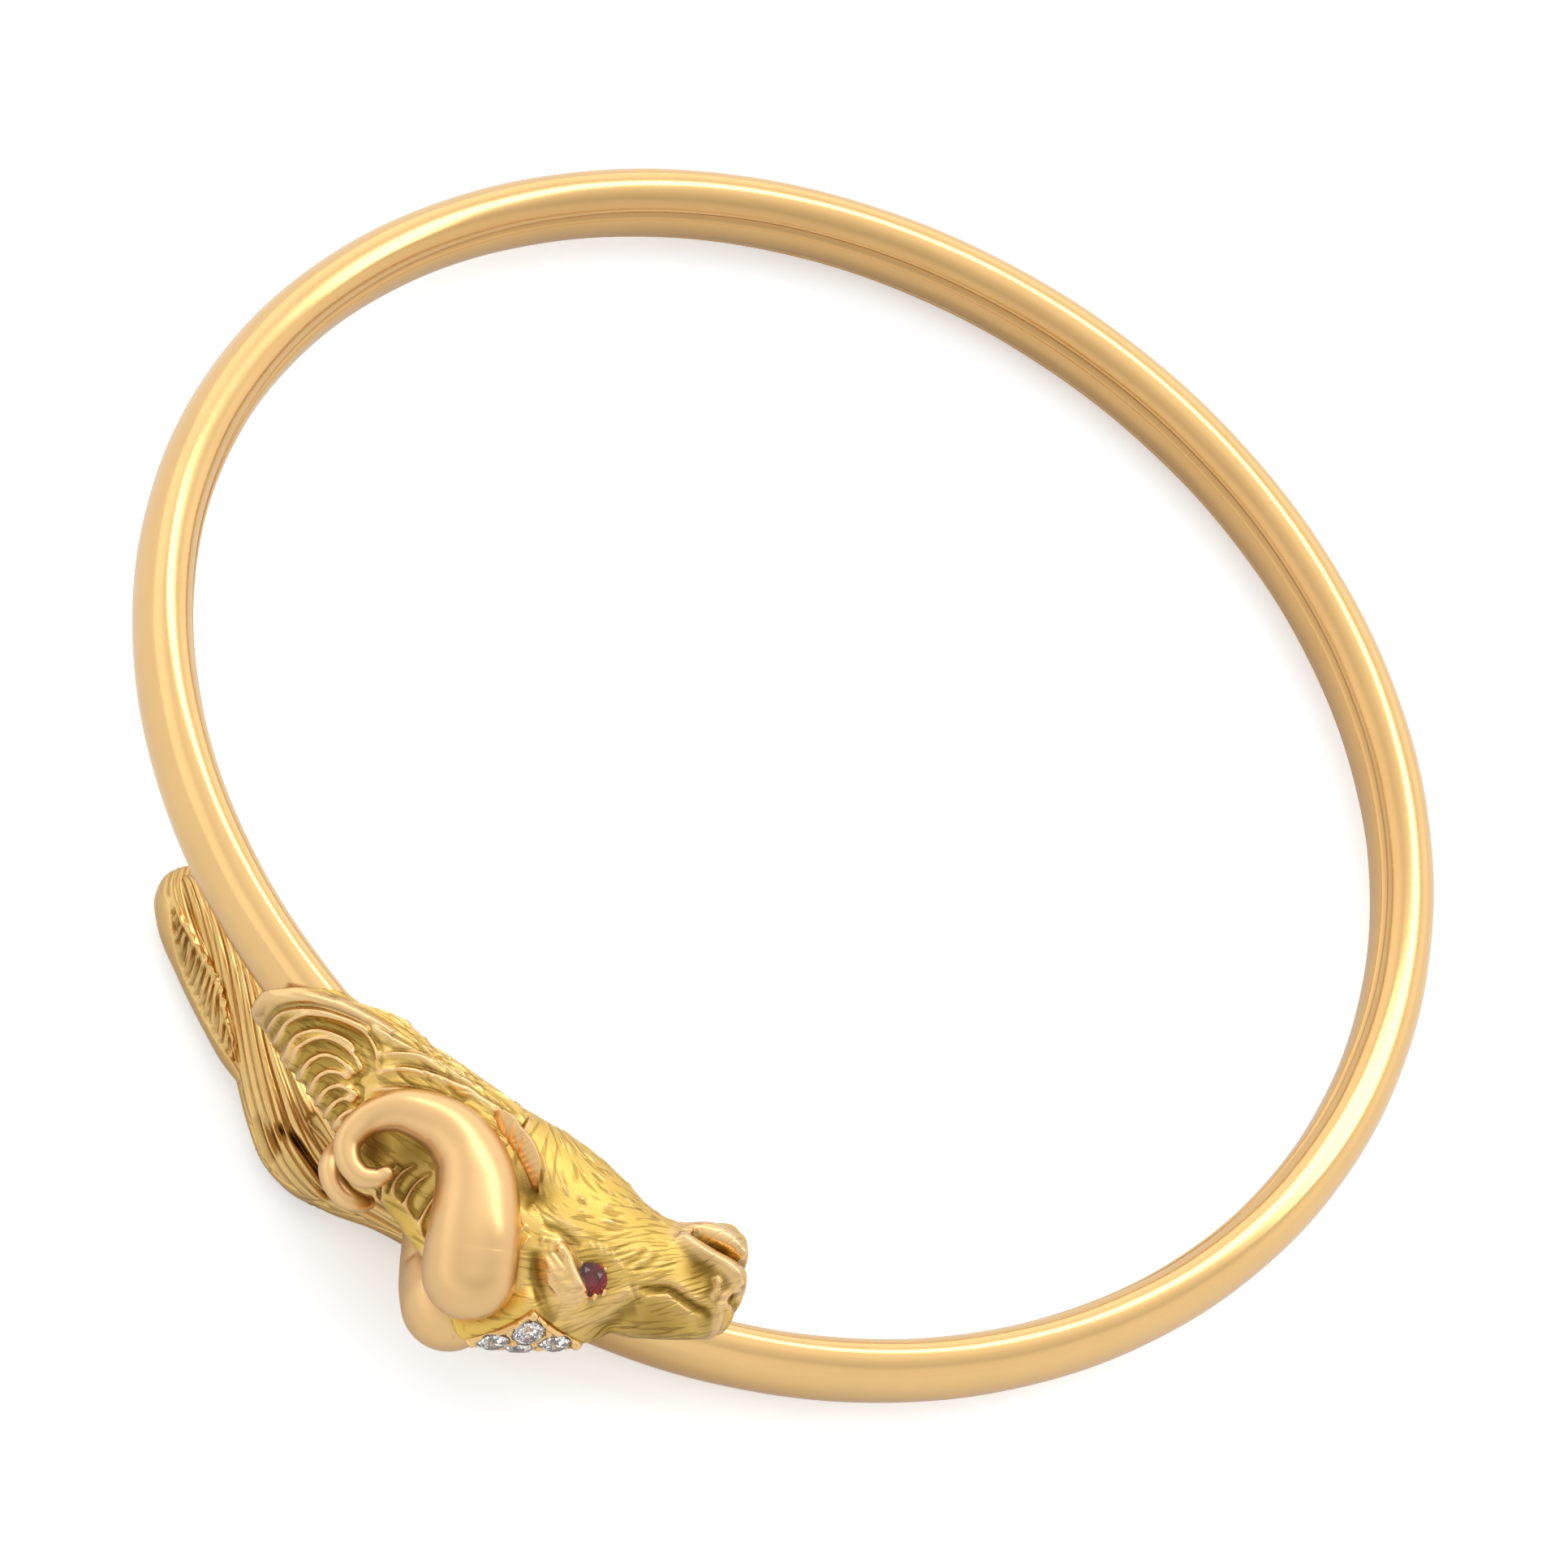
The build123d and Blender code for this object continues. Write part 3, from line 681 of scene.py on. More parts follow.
hair_strokes = [
    # count, seed, ahead from and to, girth from and to, length, width, depth
    (130, 7, (12.2, 21.5), (5.5, 13.0), 0.75, 0.045, 0.045),
    (170, 12, (12.6, 21.5), (6.0, 12.5), 0.45, 0.05, -0.045),
    (120, 8, (17.5, 24.0), (0.0, 6.0), 0.7, 0.045, 0.04),
    (90, 9, (12.2, 20.0), (0.5, 5.5), 0.6, 0.045, 0.04),
]
print("head:", len(head_bosses), "bosses,", len(raised_hairs), "raised hairs")

# %% Chase the head
HEAD_ROWS = 235
HEAD_OVERLAP = 0.25
CHEEK_GIRTH = 4.0


def hair_slope(ahead, girth):
    """Which way the hair lies: steep on the cheek, level along the jaw and the nose."""
    across = np.clip((girth - CHEEK_GIRTH) / 9.0, 0, 1)
    return -40 * np.sin(np.pi * across) + 24 * np.clip(1 - across * 2.6, 0, 1)


def make_head():
    form = Form(NECK_END - HEAD_OVERLAP, HEAD_LENGTH, HEAD_ROWS)
    cheek = np.clip((form.girth - CHEEK_GIRTH) / 5.0, 0, 1)
    form.hair = form.ahead, form.girth + (0.9 * cheek - 0.3) * (form.ahead - 18)
    for boss in head_bosses:
        form.bump(*boss)
    for line in head_lines:
        form.line(*line)
    for shadow in head_shadows:
        form.paint_shade(*shadow)
    for strokes in hair_strokes:
        form.strokes(hair_slope, *strokes)
    return form.finish("head", bed_for_plaque)


head = make_head()
tell(head)

# %% [markdown]
# ## The horns
# Each horn is a round rod of pinker gold that tapers as it curls, ending in a small hook. Its
# root is a full dome beside the forehead. The curl is set out on the head's side by a few
# rows, and a circle is carried along the smooth line through them.

# %% The horns
HORN_ROOT_RADIUS = 2.18
HORN_REACH = 6.0
HORN_SPREAD = 2.8
HORN_ROWS = 260
horn_rows = [
    # order, along, reach, side, girth
    (0, 0.548, 0.998, 0.66, 1.00),
    (1, 0.532, 0.860, 0.80, 1.00),
    (2, 0.515, 0.715, 0.93, 0.96),
    (3, 0.476, 0.435, 1.03, 0.86),
    (4, 0.428, 0.260, 1.03, 0.74),
    (5, 0.368, 0.197, 0.98, 0.62),
    (6, 0.300, 0.285, 0.86, 0.48),
    (7, 0.266, 0.468, 0.66, 0.37),
    (8, 0.264, 0.688, 0.52, 0.30),
    (9, 0.287, 0.812, 0.46, 0.27),
    (10, 0.318, 0.845, 0.46, 0.25),
    (11, 0.340, 0.788, 0.52, 0.21),
    (12, 0.348, 0.727, 0.60, 0.17),
]


def tube(name, line, radii, around=72, dome=14):
    """A round rod along a line, with a dome of so many rows at each end."""
    way = np.gradient(line, axis=0)
    way /= np.linalg.norm(way, axis=1, keepdims=True)
    quarter = np.linspace(0, np.pi / 2, dome, endpoint=False)
    closing = quarter + np.pi / 2 / dome
    start = line[0] - way[0] * (radii[0] * np.cos(quarter))[:, None]
    end = line[-1] + way[-1] * (radii[-1] * np.sin(closing))[:, None]
    centres = np.concatenate([start, line, end])
    sizes = np.concatenate([radii[0] * np.sin(quarter), radii, radii[-1] * np.cos(closing)])
    ways = np.concatenate([np.repeat(way[:1], dome, 0), way, np.repeat(way[-1:], dome, 0)])
    across = np.cross(ways[0], [0.3, 0.2, 1.0])
    angle = round_angles(around).T
    rows = []
    for centre, size, direction in zip(centres, sizes, ways):
        across = across - direction * (across @ direction)
        across /= np.linalg.norm(across)
        third = np.cross(direction, across)
        rows.append(centre + size * (np.cos(angle) * across + np.sin(angle) * third))
    return skin(name, np.array(rows))


def make_horn(name, hand):
    order = np.linspace(0, len(horn_rows) - 1, HORN_ROWS)
    along, reach, side, girth = along_table(horn_rows, order)
    line = head_point(along * HEAD_LENGTH, reach * HORN_REACH, hand * side * HORN_SPREAD)
    return tube(name, line, girth * HORN_ROOT_RADIUS)


horns = [make_horn("curled_horn_left", 1), make_horn("curled_horn_right", -1)]
tell(*horns)

# %% [markdown]
# ## The ears
# Each ear is a small polished leaf that lies back along the neck and ends in a point. Its two
# facets meet in a fold, and notches and fine teeth are cut in the facet below. It is a strip of
# rows from the tip to the root, each with its two edges.

# %% The ears
ear_rows = [
    # share, ahead, lower edge, upper edge, side
    (0.00, 10.40, -0.60, -0.68, 3.10),
    (0.12, 10.85, -0.24, -0.98, 3.40),
    (0.28, 11.40, 0.04, -1.12, 3.52),
    (0.42, 11.88, 0.20, -0.84, 3.56),
    (0.56, 12.40, 0.44, -0.76, 3.56),
    (0.72, 12.98, 0.76, -0.54, 3.50),
    (0.88, 13.60, 1.12, 0.10, 3.36),
    (1.00, 14.05, 1.34, 1.20, 3.08),
]
EAR_THICKNESS = 0.30
EAR_FOLD = 0.42
FOLD_AT = -0.25
EAR_ROWS = 140
EAR_AROUND = 96
NOTCH_DEPTH = 0.15
NOTCH_HALF = 0.05
TOOTH_DEPTH = 0.07
TEETH_FROM = 0.35
ear_notches = (0.30, 0.50)


def make_ear(name, hand):
    share = np.linspace(0, 1, EAR_ROWS)[:, None]
    ahead, lower, upper, side = columns(ear_rows, share[:, 0])
    angle = round_angles(EAR_AROUND)
    across = np.cos(angle)
    out = (lower + upper) / 2 + (lower - upper) / 2 * across
    below = np.clip((across - FOLD_AT) / (1 - FOLD_AT), 0, 1)
    above = np.clip((FOLD_AT - across) / (1 + FOLD_AT), 0, 1)
    up = side + EAR_FOLD * (0.5 - below) - EAR_FOLD * above
    # A notch gets shallower toward the fold.
    for notch in ear_notches:
        far = np.abs(share - notch - 0.06 * below)
        up = up - NOTCH_DEPTH * np.clip(1 - far / NOTCH_HALF, 0, 1) * below ** 0.7
    teeth = backs((share + 0.10 * below) * 52, 0.7)
    up = up - TOOTH_DEPTH * teeth * below * eased((share - TEETH_FROM) / 0.15)
    pointed = eased(share * 6 + 0.3) * eased((1 - share) * 6 + 0.3)
    up = up + EAR_THICKNESS * np.sin(angle) * pointed
    return skin(name, head_point(ahead, out, hand * up))


ears = [make_ear("ear_left", 1), make_ear("ear_right", -1)]
tell(*ears)

# %% [markdown]
# ## The tail
# The other end is a bundle of long polished strands. They leave the band level, swell outward
# and twist round as they run to the tip. Each strand is a rounded back with a sharp crease on
# either side, and fine threads run along it. At the swelling three slits go deep between them.
# Painted shade darkens the creases and the slits.

# %% The tail
TAIL_LENGTH = 29.3
TAIL_DEPTH = 4.3
TAIL_HEIGHT = 4.2
tail_rows = [
    # along, inner, outer, height, twist in degrees
    (0.000, -0.300, 0.300, 1.00, -20),
    (0.110, -0.320, 0.330, 1.03, -18),
    (0.260, -0.340, 0.380, 1.04, -10),
    (0.340, -0.280, 0.500, 1.02, 0),
    (0.410, -0.210, 0.720, 1.00, 18),
    (0.454, -0.170, 0.840, 0.98, 36),
    (0.516, -0.180, 0.850, 0.96, 50),
    (0.583, -0.240, 0.660, 0.93, 58),
    (0.644, -0.320, 0.450, 0.90, 62),
    (0.726, -0.390, 0.240, 0.86, 80),
    (0.830, -0.380, 0.140, 0.82, 120),
    (0.920, -0.310, 0.110, 0.74, 150),
    (0.962, -0.240, 0.080, 0.52, 165),
    (0.976, -0.170, 0.020, 0.20, 170),
]
# Each point of a slit is (ahead, out).
slits = [
    [(12.6, 1.95), (13.7, 1.52), (14.9, 1.40)],
    [(12.2, 3.05), (13.4, 2.80), (14.3, 2.68), (15.6, 2.70)],
    [(15.0, 3.55), (15.7, 3.25), (16.6, 3.00)],
]
TAIL_VISIBLE = 28.6
TAIL_ROWS = 300
TAIL_AROUND = 320
STRANDS = 17
STRAND_DEPTH = 0.18
THREAD_DEPTH = 0.035
SLIT_DEPTH = 0.5
SLIT_WIDTH = 0.22
SLIT_SHADE = 1.6


def make_tail():
    ahead = np.linspace(0, TAIL_VISIBLE, TAIL_ROWS)[:, None]
    inner, outer, height, twist = columns(tail_rows, ahead[:, 0] / TAIL_LENGTH)
    angle = round_angles(TAIL_AROUND)
    out = ((inner + outer) + (outer - inner) * np.cos(angle)) / 2 * TAIL_DEPTH
    rows = tail_point(ahead, out, height * TAIL_HEIGHT / 2 * np.sin(angle))
    # Strands of uneven width, the same above and below, turn with the tail's twist.
    mirrored = np.where(np.sin(angle) >= 0, angle, 2 * np.pi - angle)
    phase = mirrored - np.radians(twist)
    uneven = phase + 0.16 * np.sin(2 * phase + 0.8) + 0.06 * np.sin(5 * phase)
    strand = backs(uneven * STRANDS / 2)
    thread = backs(uneven * STRANDS * 1.5 + 0.4 * np.sin(ahead * 0.7))
    size = np.clip((outer - inner) * TAIL_DEPTH / 3.2, 0.3, 1) * np.clip(ahead / 3, 0, 1)
    deeper = 1 + 0.45 * np.sin(np.round(uneven * STRANDS / 2 / np.pi) * 2.4)
    relief = size * (STRAND_DEPTH * deeper * (strand - 1) + THREAD_DEPTH * (thread - 1))
    # Painted shade in the creases between the strands, and below in the slits.
    crease = np.clip(1.25 - 2.3 * strand, 0, 1)
    for slit in slits:
        far, share = near_path(curve_through(slit, 14), ahead, out)
        cut = np.exp(-(far / SLIT_WIDTH) ** 2) * (1 - strand) ** 0.5
        relief = relief - SLIT_DEPTH * cut
        crease = np.maximum(crease, np.clip(SLIT_SHADE * cut, 0, 1))
    return skin("tail", rows + normals_of(rows) * relief[..., None], crease=crease)


tail = make_tail()
tell(tail)

# %% [markdown]
# ## The turned-over tip
# The tail's last leaf is folded back along its outer side. Its rim is smooth and rolled. Beside
# it lies a hollow with slanting strokes across it and a ragged bright edge, and over the top
# strands run down to the tail. Painted shade darkens the grooves of the strokes and the strands.
# The leaf and its hollow each get a table of rows.

# %% The turned-over tip
tip_rows = [
    # share, ahead, inner, outer, height
    (0.00, 28.95, -1.10, -0.20, 0.40),
    (0.05, 28.80, -1.25, 0.30, 0.85),
    (0.12, 28.20, -0.95, 0.90, 1.12),
    (0.25, 26.80, -0.60, 1.38, 1.28),
    (0.48, 24.20, -0.25, 1.60, 1.28),
    (0.72, 21.60, 0.30, 1.82, 1.12),
    (0.90, 19.70, 1.05, 2.02, 0.80),
    (1.00, 18.50, 1.60, 2.05, 0.35),
]
hollow_rows = [
    # ahead, middle of the hollow round the leaf, half of its width
    (19.1, 0.300, 0.030),
    (20.3, 0.280, 0.160),
    (21.0, 0.265, 0.185),
    (21.8, 0.280, 0.230),
    (22.6, 0.320, 0.260),
    (23.3, 0.305, 0.245),
    (24.0, 0.275, 0.205),
    (24.9, 0.275, 0.155),
    (25.6, 0.295, 0.105),
    (26.3, 0.310, 0.060),
    (27.2, 0.330, 0.015),
]
TIP_ROWS = 250
TIP_AROUND = 160
TIP_DROP = 0.1
HOLLOW_DEPTH = 0.20
STROKE_DEPTH = 0.19
FINE_DEPTH = 0.07
EDGE_RISE = 0.11
EDGE_WIDTH = 0.035
TIP_STRAND_DEPTH = 0.10


def make_tip():
    share = np.linspace(0, 1, TIP_ROWS)[:, None]
    ahead, inner, outer, height = columns(tip_rows, share[:, 0])
    angle = round_angles(TIP_AROUND)
    out = (inner + outer) / 2 + (outer - inner) / 2 * np.cos(angle)
    rows = tail_point(ahead, out, height * np.sin(angle) - TIP_DROP)
    # round_it is 0 at the outer edge, 1 at the inner edge, below 0 on the floor's side.
    round_it = np.where(angle > 1.5 * np.pi, angle - 2 * np.pi, angle) / np.pi
    middle, half = columns(hollow_rows, ahead[:, 0])
    across = (round_it - middle) / half
    inside = eased((1.1 - np.abs(across)) * 2.2) * eased((half - 0.01) * 20)
    # The strokes lie aslant in the hollow and bend a little, with finer ones among them.
    bent = 0.10 * np.sin(ahead * 1.9) + 0.05 * np.sin(ahead * 4.3 + out * 3)
    slant = 6.0 * (ahead + 1.05 * out + bent)
    strokes = backs(slant, 0.7) - 1
    fine = backs(slant * 1.9 + 3 * np.sin(ahead * 0.8), 0.7) - 1
    relief = (-HOLLOW_DEPTH + STROKE_DEPTH * (strokes + 0.5) + FINE_DEPTH * fine) * inside
    # The hollow's upper edge wanders, and it stands up where the strokes pushed the metal.
    wander = 0.12 * np.sin(ahead * 5) + 0.12 * np.sin(ahead * 11.3)
    ragged = np.exp(-((across - 1.1 - wander) * half / EDGE_WIDTH) ** 2)
    relief = relief + EDGE_RISE * ragged * eased((half - 0.03) * 20)
    # Beyond the hollow's upper edge the tail's strands go on.
    strands = backs(round_it * 22 + 0.35 * np.sin(ahead * 0.9)) - 1
    start = middle + half + 0.06 - 0.3 * eased((ahead - 26.6) * 0.6)
    beyond = eased((round_it - start) * 12) * eased((share - 0.01) * 20) * eased((1 - share) * 8)
    relief = relief + TIP_STRAND_DEPTH * strands * beyond
    # Painted shade in the grooves of the strokes and the strands; the hollow is also darker toward the
    # tip.
    upper = 0.35 * inside * eased((ahead - 22.8) * 0.6)
    crease = np.clip(-0.85 * strokes * inside - 0.6 * strands * beyond + upper, 0, 1)
    return skin("turned_tip", rows + normals_of(rows) * relief[..., None], crease=crease)


tip = make_tip()
tell(tip)

# %% [markdown]
# ## Cut stones
# A round brilliant has a flat table, three rows of crown facets, a thin girdle and two rows of
# facets below it that meet in a point. It is built here facet by facet and shaded flat,
# because its sparkle comes from the flat faces. The rubies are cut the same way, but lower.

# %% A cut stone
GIRDLE_HALF = 0.04
LOWER_RING = 0.36
LOWER_DEPTH = 0.62
POINT_DEPTH = 0.86


def brilliant(name, radius, crown=0.34, table=0.56):
    """A round brilliant about its own middle, all shares of its radius: the table faces +Z."""
    def ring(count, offset, size, height):
        angle = 2 * np.pi * (np.arange(count) + offset) / count
        return np.column_stack([size * np.cos(angle), size * np.sin(angle), np.full(count, height)])

    corners = np.concatenate([
        ring(8, 0, table, crown), ring(8, 0.5, (table + 1) / 2 * 1.02, crown * 0.56),
        ring(16, 0, 1, GIRDLE_HALF), ring(16, 0, 1, -GIRDLE_HALF),
        ring(8, 0.5, LOWER_RING, -LOWER_DEPTH), [[0, 0, -POINT_DEPTH]]]) * radius
    top, middle, girdle, under, lower, point = 0, 8, 16, 32, 48, 56
    faces = [list(range(8))]
    for i in range(8):
        after = (i + 1) % 8
        one, two, three = 2 * i, 2 * i + 1, (2 * i + 2) % 16
        faces.append([top + i, middle + i, top + after])
        faces.append([top + after, middle + i, girdle + three, middle + after])
        faces.append([middle + i, girdle + one, girdle + two])
        faces.append([middle + i, girdle + two, girdle + three])
        faces.append([under + two, under + one, lower + i])
        faces.append([under + three, under + two, lower + i])
        faces.append([lower + i, under + one, lower + (i - 1) % 8, point])
    for i in range(16):
        after = (i + 1) % 16
        faces.append([girdle + i, under + i, under + after, girdle + after])
    return mesh_object(name, corners, faces, smooth=False)


def frame_of(x_way, y_way, z_way, middle):
    """The matrix that turns a piece to three directions and moves it, in millimetres."""
    matrix = Matrix([[*column] for column in zip(x_way, y_way, z_way)]).to_4x4()
    matrix.translation = Vector(middle * MM)
    return matrix


def stand(piece, middle, x_way, z_way):
    """Puts a piece made about its own middle where it belongs, in its mesh."""
    z_way = z_way / np.linalg.norm(z_way)
    y_way = np.cross(z_way, x_way)
    y_way /= np.linalg.norm(y_way)
    piece.data.transform(frame_of(np.cross(y_way, z_way), y_way, z_way, middle))
    return piece


print("a stone goes", POINT_DEPTH, "of its radius below its girdle")

# %% Set the stones
STONE_RADIUS = 0.76
STONE_SINK = 0.06
STONE_PITCH = 1.68
STONE_LEAN = 30.0
EYE_RADIUS = 0.8
EYE_AHEAD = 17.9
EYE_TILT = 14.0
EYE_RISE = 0.15
half_long = STONE_PITCH * np.cos(np.radians(STONE_LEAN))
half_short = STONE_PITCH * np.sin(np.radians(STONE_LEAN))
stone_places = {"back": (half_long, 0), "front": (-half_long, 0),
                "left": (0, half_short), "right": (0, -half_short)}

diamonds = []
for name, (x, y) in stone_places.items():
    stone = brilliant("brilliant_" + name, STONE_RADIUS)
    look = on_plaque(x, y, 1.0) - on_plaque(x, y, 0.0)
    diamonds.append(stand(stone, on_plaque(x, y, -STONE_SINK), plaque_x, look))

rubies = []
eye_turn = turn_after(HEAD_TURN, EYE_AHEAD)
for name, hand in (("left", 1), ("right", -1)):
    corner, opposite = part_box("eye_" + name)
    eye_middle = np.array((corner + opposite) / 2) / MM
    tilt = np.radians(EYE_TILT)
    look = np.array([0, 0, hand * np.cos(tilt)]) + outward(eye_turn) * np.sin(tilt)
    stone = brilliant("ruby_" + name, EYE_RADIUS, crown=0.30, table=0.5)
    rubies.append(stand(stone, eye_middle + look * EYE_RISE, plaque_x, look))
tell(*diamonds, *rubies)

# %% [markdown]
# ## The forehead plaque
# The four clear stones sit in a lozenge that is bent over the forehead, with a thin bright
# rim. A seat is drilled for each stone, its cone a little wider than the stone, so light that
# goes through the stone comes back from the gold. Between the stones small grains are pushed
# over their edges to hold them, and the rim's corners end in larger grains.

# %% The forehead plaque
SEAT_DEPTH = 0.72
SEAT_FLOOR = 0.85
RIM_RISE = 0.13
RIM_IN = 0.10
RIM_WIDTH = 0.09
FACE_DROP = 0.04
GRAIN_RADIUS = 0.17
GRAIN_SINK = 0.02
CORNER_GRAIN = 0.24
PLAQUE_ROWS = 130
PLAQUE_AROUND = 320
signs = [(x, y) for x in (1, -1) for y in (1, -1)]
grains = [(x * half_long / 3, 0) for x in (1, -1)]
grains += [(x * half_long * 0.64, y * half_short * 1.02) for x, y in signs]
grains += [(x * (half_long + 0.62), y * 0.55) for x, y in signs]
grains += [(x * 0.62, y * (half_short + 0.60)) for x, y in signs]
corner_grains = [(x * (PLAQUE_LENGTH / 2 - 0.3), 0) for x in (1, -1)]
corner_grains += [(0, y * (PLAQUE_WIDTH / 2 - 0.25)) for y in (1, -1)]
plaque_skirt = [
    # spread from the rim, rise
    (1.01, -0.10),
    (1.05, -0.28),
    (1.16, -0.75),
    (1.30, -1.50),
    (1.30, -2.20),
]


def with_grains(rise, x, y, places, radius, sink):
    """The surface with a round grain pushed up at each place."""
    for place in places:
        far = np.hypot(x - place[0], y - place[1]) / radius
        rise = np.maximum(rise, radius * np.sqrt(np.clip(1 - far ** 2, 0, 1)) - sink)
    return rise


def make_plaque():
    """Rows run from the middle to the lozenge's edge, then down into the forehead."""
    angle = round_angles(PLAQUE_AROUND)
    edge = 1 / (np.abs(np.cos(angle)) / (PLAQUE_LENGTH / 2)
                + np.abs(np.sin(angle)) / (PLAQUE_WIDTH / 2))
    edge = edge * (1 - 0.05 * np.abs(np.sin(2 * angle)))
    edge_x, edge_y = edge * np.cos(angle), edge * np.sin(angle)
    share = np.linspace(0.01, 1, PLAQUE_ROWS)[:, None]
    x, y = edge_x * share, edge_y * share
    from_edge = (1 - share) * edge * 0.75
    rise = RIM_RISE * np.exp(-((from_edge - RIM_IN) / RIM_WIDTH) ** 2) - FACE_DROP
    rise = with_grains(rise, x, y, grains, GRAIN_RADIUS, GRAIN_SINK)
    rise = with_grains(rise, x, y, corner_grains, CORNER_GRAIN, 0)
    for place in stone_places.values():
        inside = np.clip(1.04 - np.hypot(x - place[0], y - place[1]) / STONE_RADIUS, 0, 1)
        seat = -SEAT_DEPTH * np.minimum(inside / SEAT_FLOOR, 1) - FACE_DROP
        rise = np.where(inside > 0, np.minimum(seat, rise), rise)
    rows = [on_plaque(x, y, rise)]
    rows += [on_plaque(edge_x * spread, edge_y * spread, drop) for spread, drop in plaque_skirt]
    return skin("forehead_plaque", np.concatenate(rows))


plaque = make_plaque()
tell(plaque)

# %% [markdown]
# ## Grains that hold the eyes
# Each ruby is held by a few grains raised from the lid with a graver. They are tiny, bright
# and uneven, so their places round the stone are listed one by one.

# %% Eye grains
EYE_GRAIN_OUT = 0.05
EYE_GRAIN_UP = 0.12
eye_grain_angles = (20, 55, 150, 215, 300)
eye_grain_rows = [
    # rise, radius
    (-0.25, 0.14),
    (0.00, 0.13),
    (0.03, 0.11),
]


def join(name, pieces):
    """One object out of several."""
    corners, faces, start = [], [], 0
    for piece in pieces:
        mesh = piece.data
        corners += [tuple(v.co / MM) for v in mesh.vertices]
        faces += [[start + v for v in polygon.vertices] for polygon in mesh.polygons]
        start += len(mesh.vertices)
        bpy.data.objects.remove(piece)
    return mesh_object(name, corners, faces)


def make_eye_grains(name, stone, hand):
    middle = np.array([tuple(v.co) for v in stone.data.vertices]).mean(0) / MM
    rise, radius = np.array(eye_grain_rows).T
    up = np.array([0, 0, hand])
    pieces = []
    for i, angle in enumerate(np.radians(eye_grain_angles)):
        way = np.cos(angle) * ahead_way(eye_turn) + np.sin(angle) * outward(eye_turn)
        place = middle + way * (EYE_RADIUS + EYE_GRAIN_OUT) + up * EYE_GRAIN_UP
        line = place + rise[:, None] * up
        pieces.append(tube(f"eye_grain_{i}", line, radius, around=16, dome=5))
    return join(name, pieces)


eye_grains = [make_eye_grains("eye_grains_left", rubies[0], 1),
              make_eye_grains("eye_grains_right", rubies[1], -1)]
tell(*eye_grains)

# %% [markdown]
# ## Joining shader nodes
# A material is a net of small steps, and most of the code for one would say which output goes
# into which input. These helpers say it in one call: an input is given a plain value, a colour
# of three numbers, or the output of another step.

# %% Helpers for shader nodes
def feed(tree, socket, value):
    """Gives an input a value, a colour or a link."""
    if isinstance(value, bpy.types.NodeSocket):
        tree.links.new(value, socket)
    elif socket.type == "RGBA":
        socket.default_value = (*value, 1)
    else:
        socket.default_value = value


def fit(tree, node, **values):
    """Sets a node's settings and feeds its inputs. A space in an input's name is written _."""
    for key, value in values.items():
        if hasattr(node, key):
            setattr(node, key, value)
        else:
            feed(tree, node.inputs[key.replace("_", " ")], value)
    return node


def add_node(tree, kind, **values):
    return fit(tree, tree.nodes.new(kind), **values)


def math_node(tree, operation, first, second):
    node = add_node(tree, "ShaderNodeMath", operation=operation)
    feed(tree, node.inputs[0], first)
    feed(tree, node.inputs[1], second)
    return node.outputs[0]


def product(tree, first, second):
    return math_node(tree, "MULTIPLY", first, second)


def total(tree, first, second):
    return math_node(tree, "ADD", first, second)


def mixed(tree, factor, first, second):
    """Two colours mixed."""
    mix = add_node(tree, "ShaderNodeMix", data_type="RGBA", Factor=factor, A=first, B=second)
    return mix.outputs["Result"]


def noise(tree, where, **values):
    return add_node(tree, "ShaderNodeTexNoise", Vector=where, **values).outputs["Fac"]


def place_on(tree, kind="Object"):
    """Where a point of the surface is, or for the sky which way it lies."""
    return add_node(tree, "ShaderNodeTexCoord").outputs[kind]


def mark(tree, label):
    """The values that skin kept on the mesh."""
    return add_node(tree, "ShaderNodeAttribute", attribute_name=label).outputs["Fac"]


def new_material(name):
    """A material, its tree and its shader."""
    material = bpy.data.materials.new(name)
    material.use_nodes = True
    return material, material.node_tree, material.node_tree.nodes["Principled BSDF"]


print("helpers ready:", [helper.__name__ for helper in (add_node, math_node, mixed, noise, mark)])

# %% [markdown]
# ## Shared effects
# Every gold here carries fine scratches from wear, and painted shade, darker and redder, in its
# creases and recesses. Each effect is built once as a node group with its own inputs, so
# that the band, the head and the horns can wear it more or less.

# %% Node groups
VALUE = "NodeSocketFloat"
COLOUR = "NodeSocketColor"
scratch_ways = [
    # how the noise is turned, and how fine it is each way, per metre
    ((0.3, 0.2, 0.6), (9000, 300, 1500)),
    ((1.1, 0.5, 2.0), (500, 8000, 2000)),
]


def new_group(name, inputs, outputs):
    """A node group: inputs are (name, kind, default), outputs are (name, kind)."""
    tree = bpy.data.node_groups.new(name, "ShaderNodeTree")
    for label, kind, default in inputs:
        socket = tree.interface.new_socket(label, in_out="INPUT", socket_type=kind)
        socket.default_value = default
    for label, kind in outputs:
        tree.interface.new_socket(label, in_out="OUTPUT", socket_type=kind)
    start = tree.nodes.new("NodeGroupInput")
    end = tree.nodes.new("NodeGroupOutput")
    return tree, start.outputs, end


def make_wear():
    """Fine scratches in two directions, as a height and a mask."""
    tree, given, end = new_group(
        "Polishing scratches", [("Scale", VALUE, 1.0), ("Amount", VALUE, 1.0)],
        [("Height", VALUE), ("Mask", VALUE)])
    where = place_on(tree)
    parts = []
    for turn, fineness in scratch_ways:
        mapping = add_node(tree, "ShaderNodeMapping", Vector=where, Rotation=turn, Scale=fineness)
        streaks = noise(tree, mapping.outputs[0], Scale=given["Scale"], Detail=2.0, Roughness=0.6)
        parts.append(math_node(tree, "POWER", streaks, 4.0))
    both = math_node(tree, "MAXIMUM", *parts)
    fit(tree, end, Height=product(tree, both, given["Amount"]), Mask=both)
    return tree


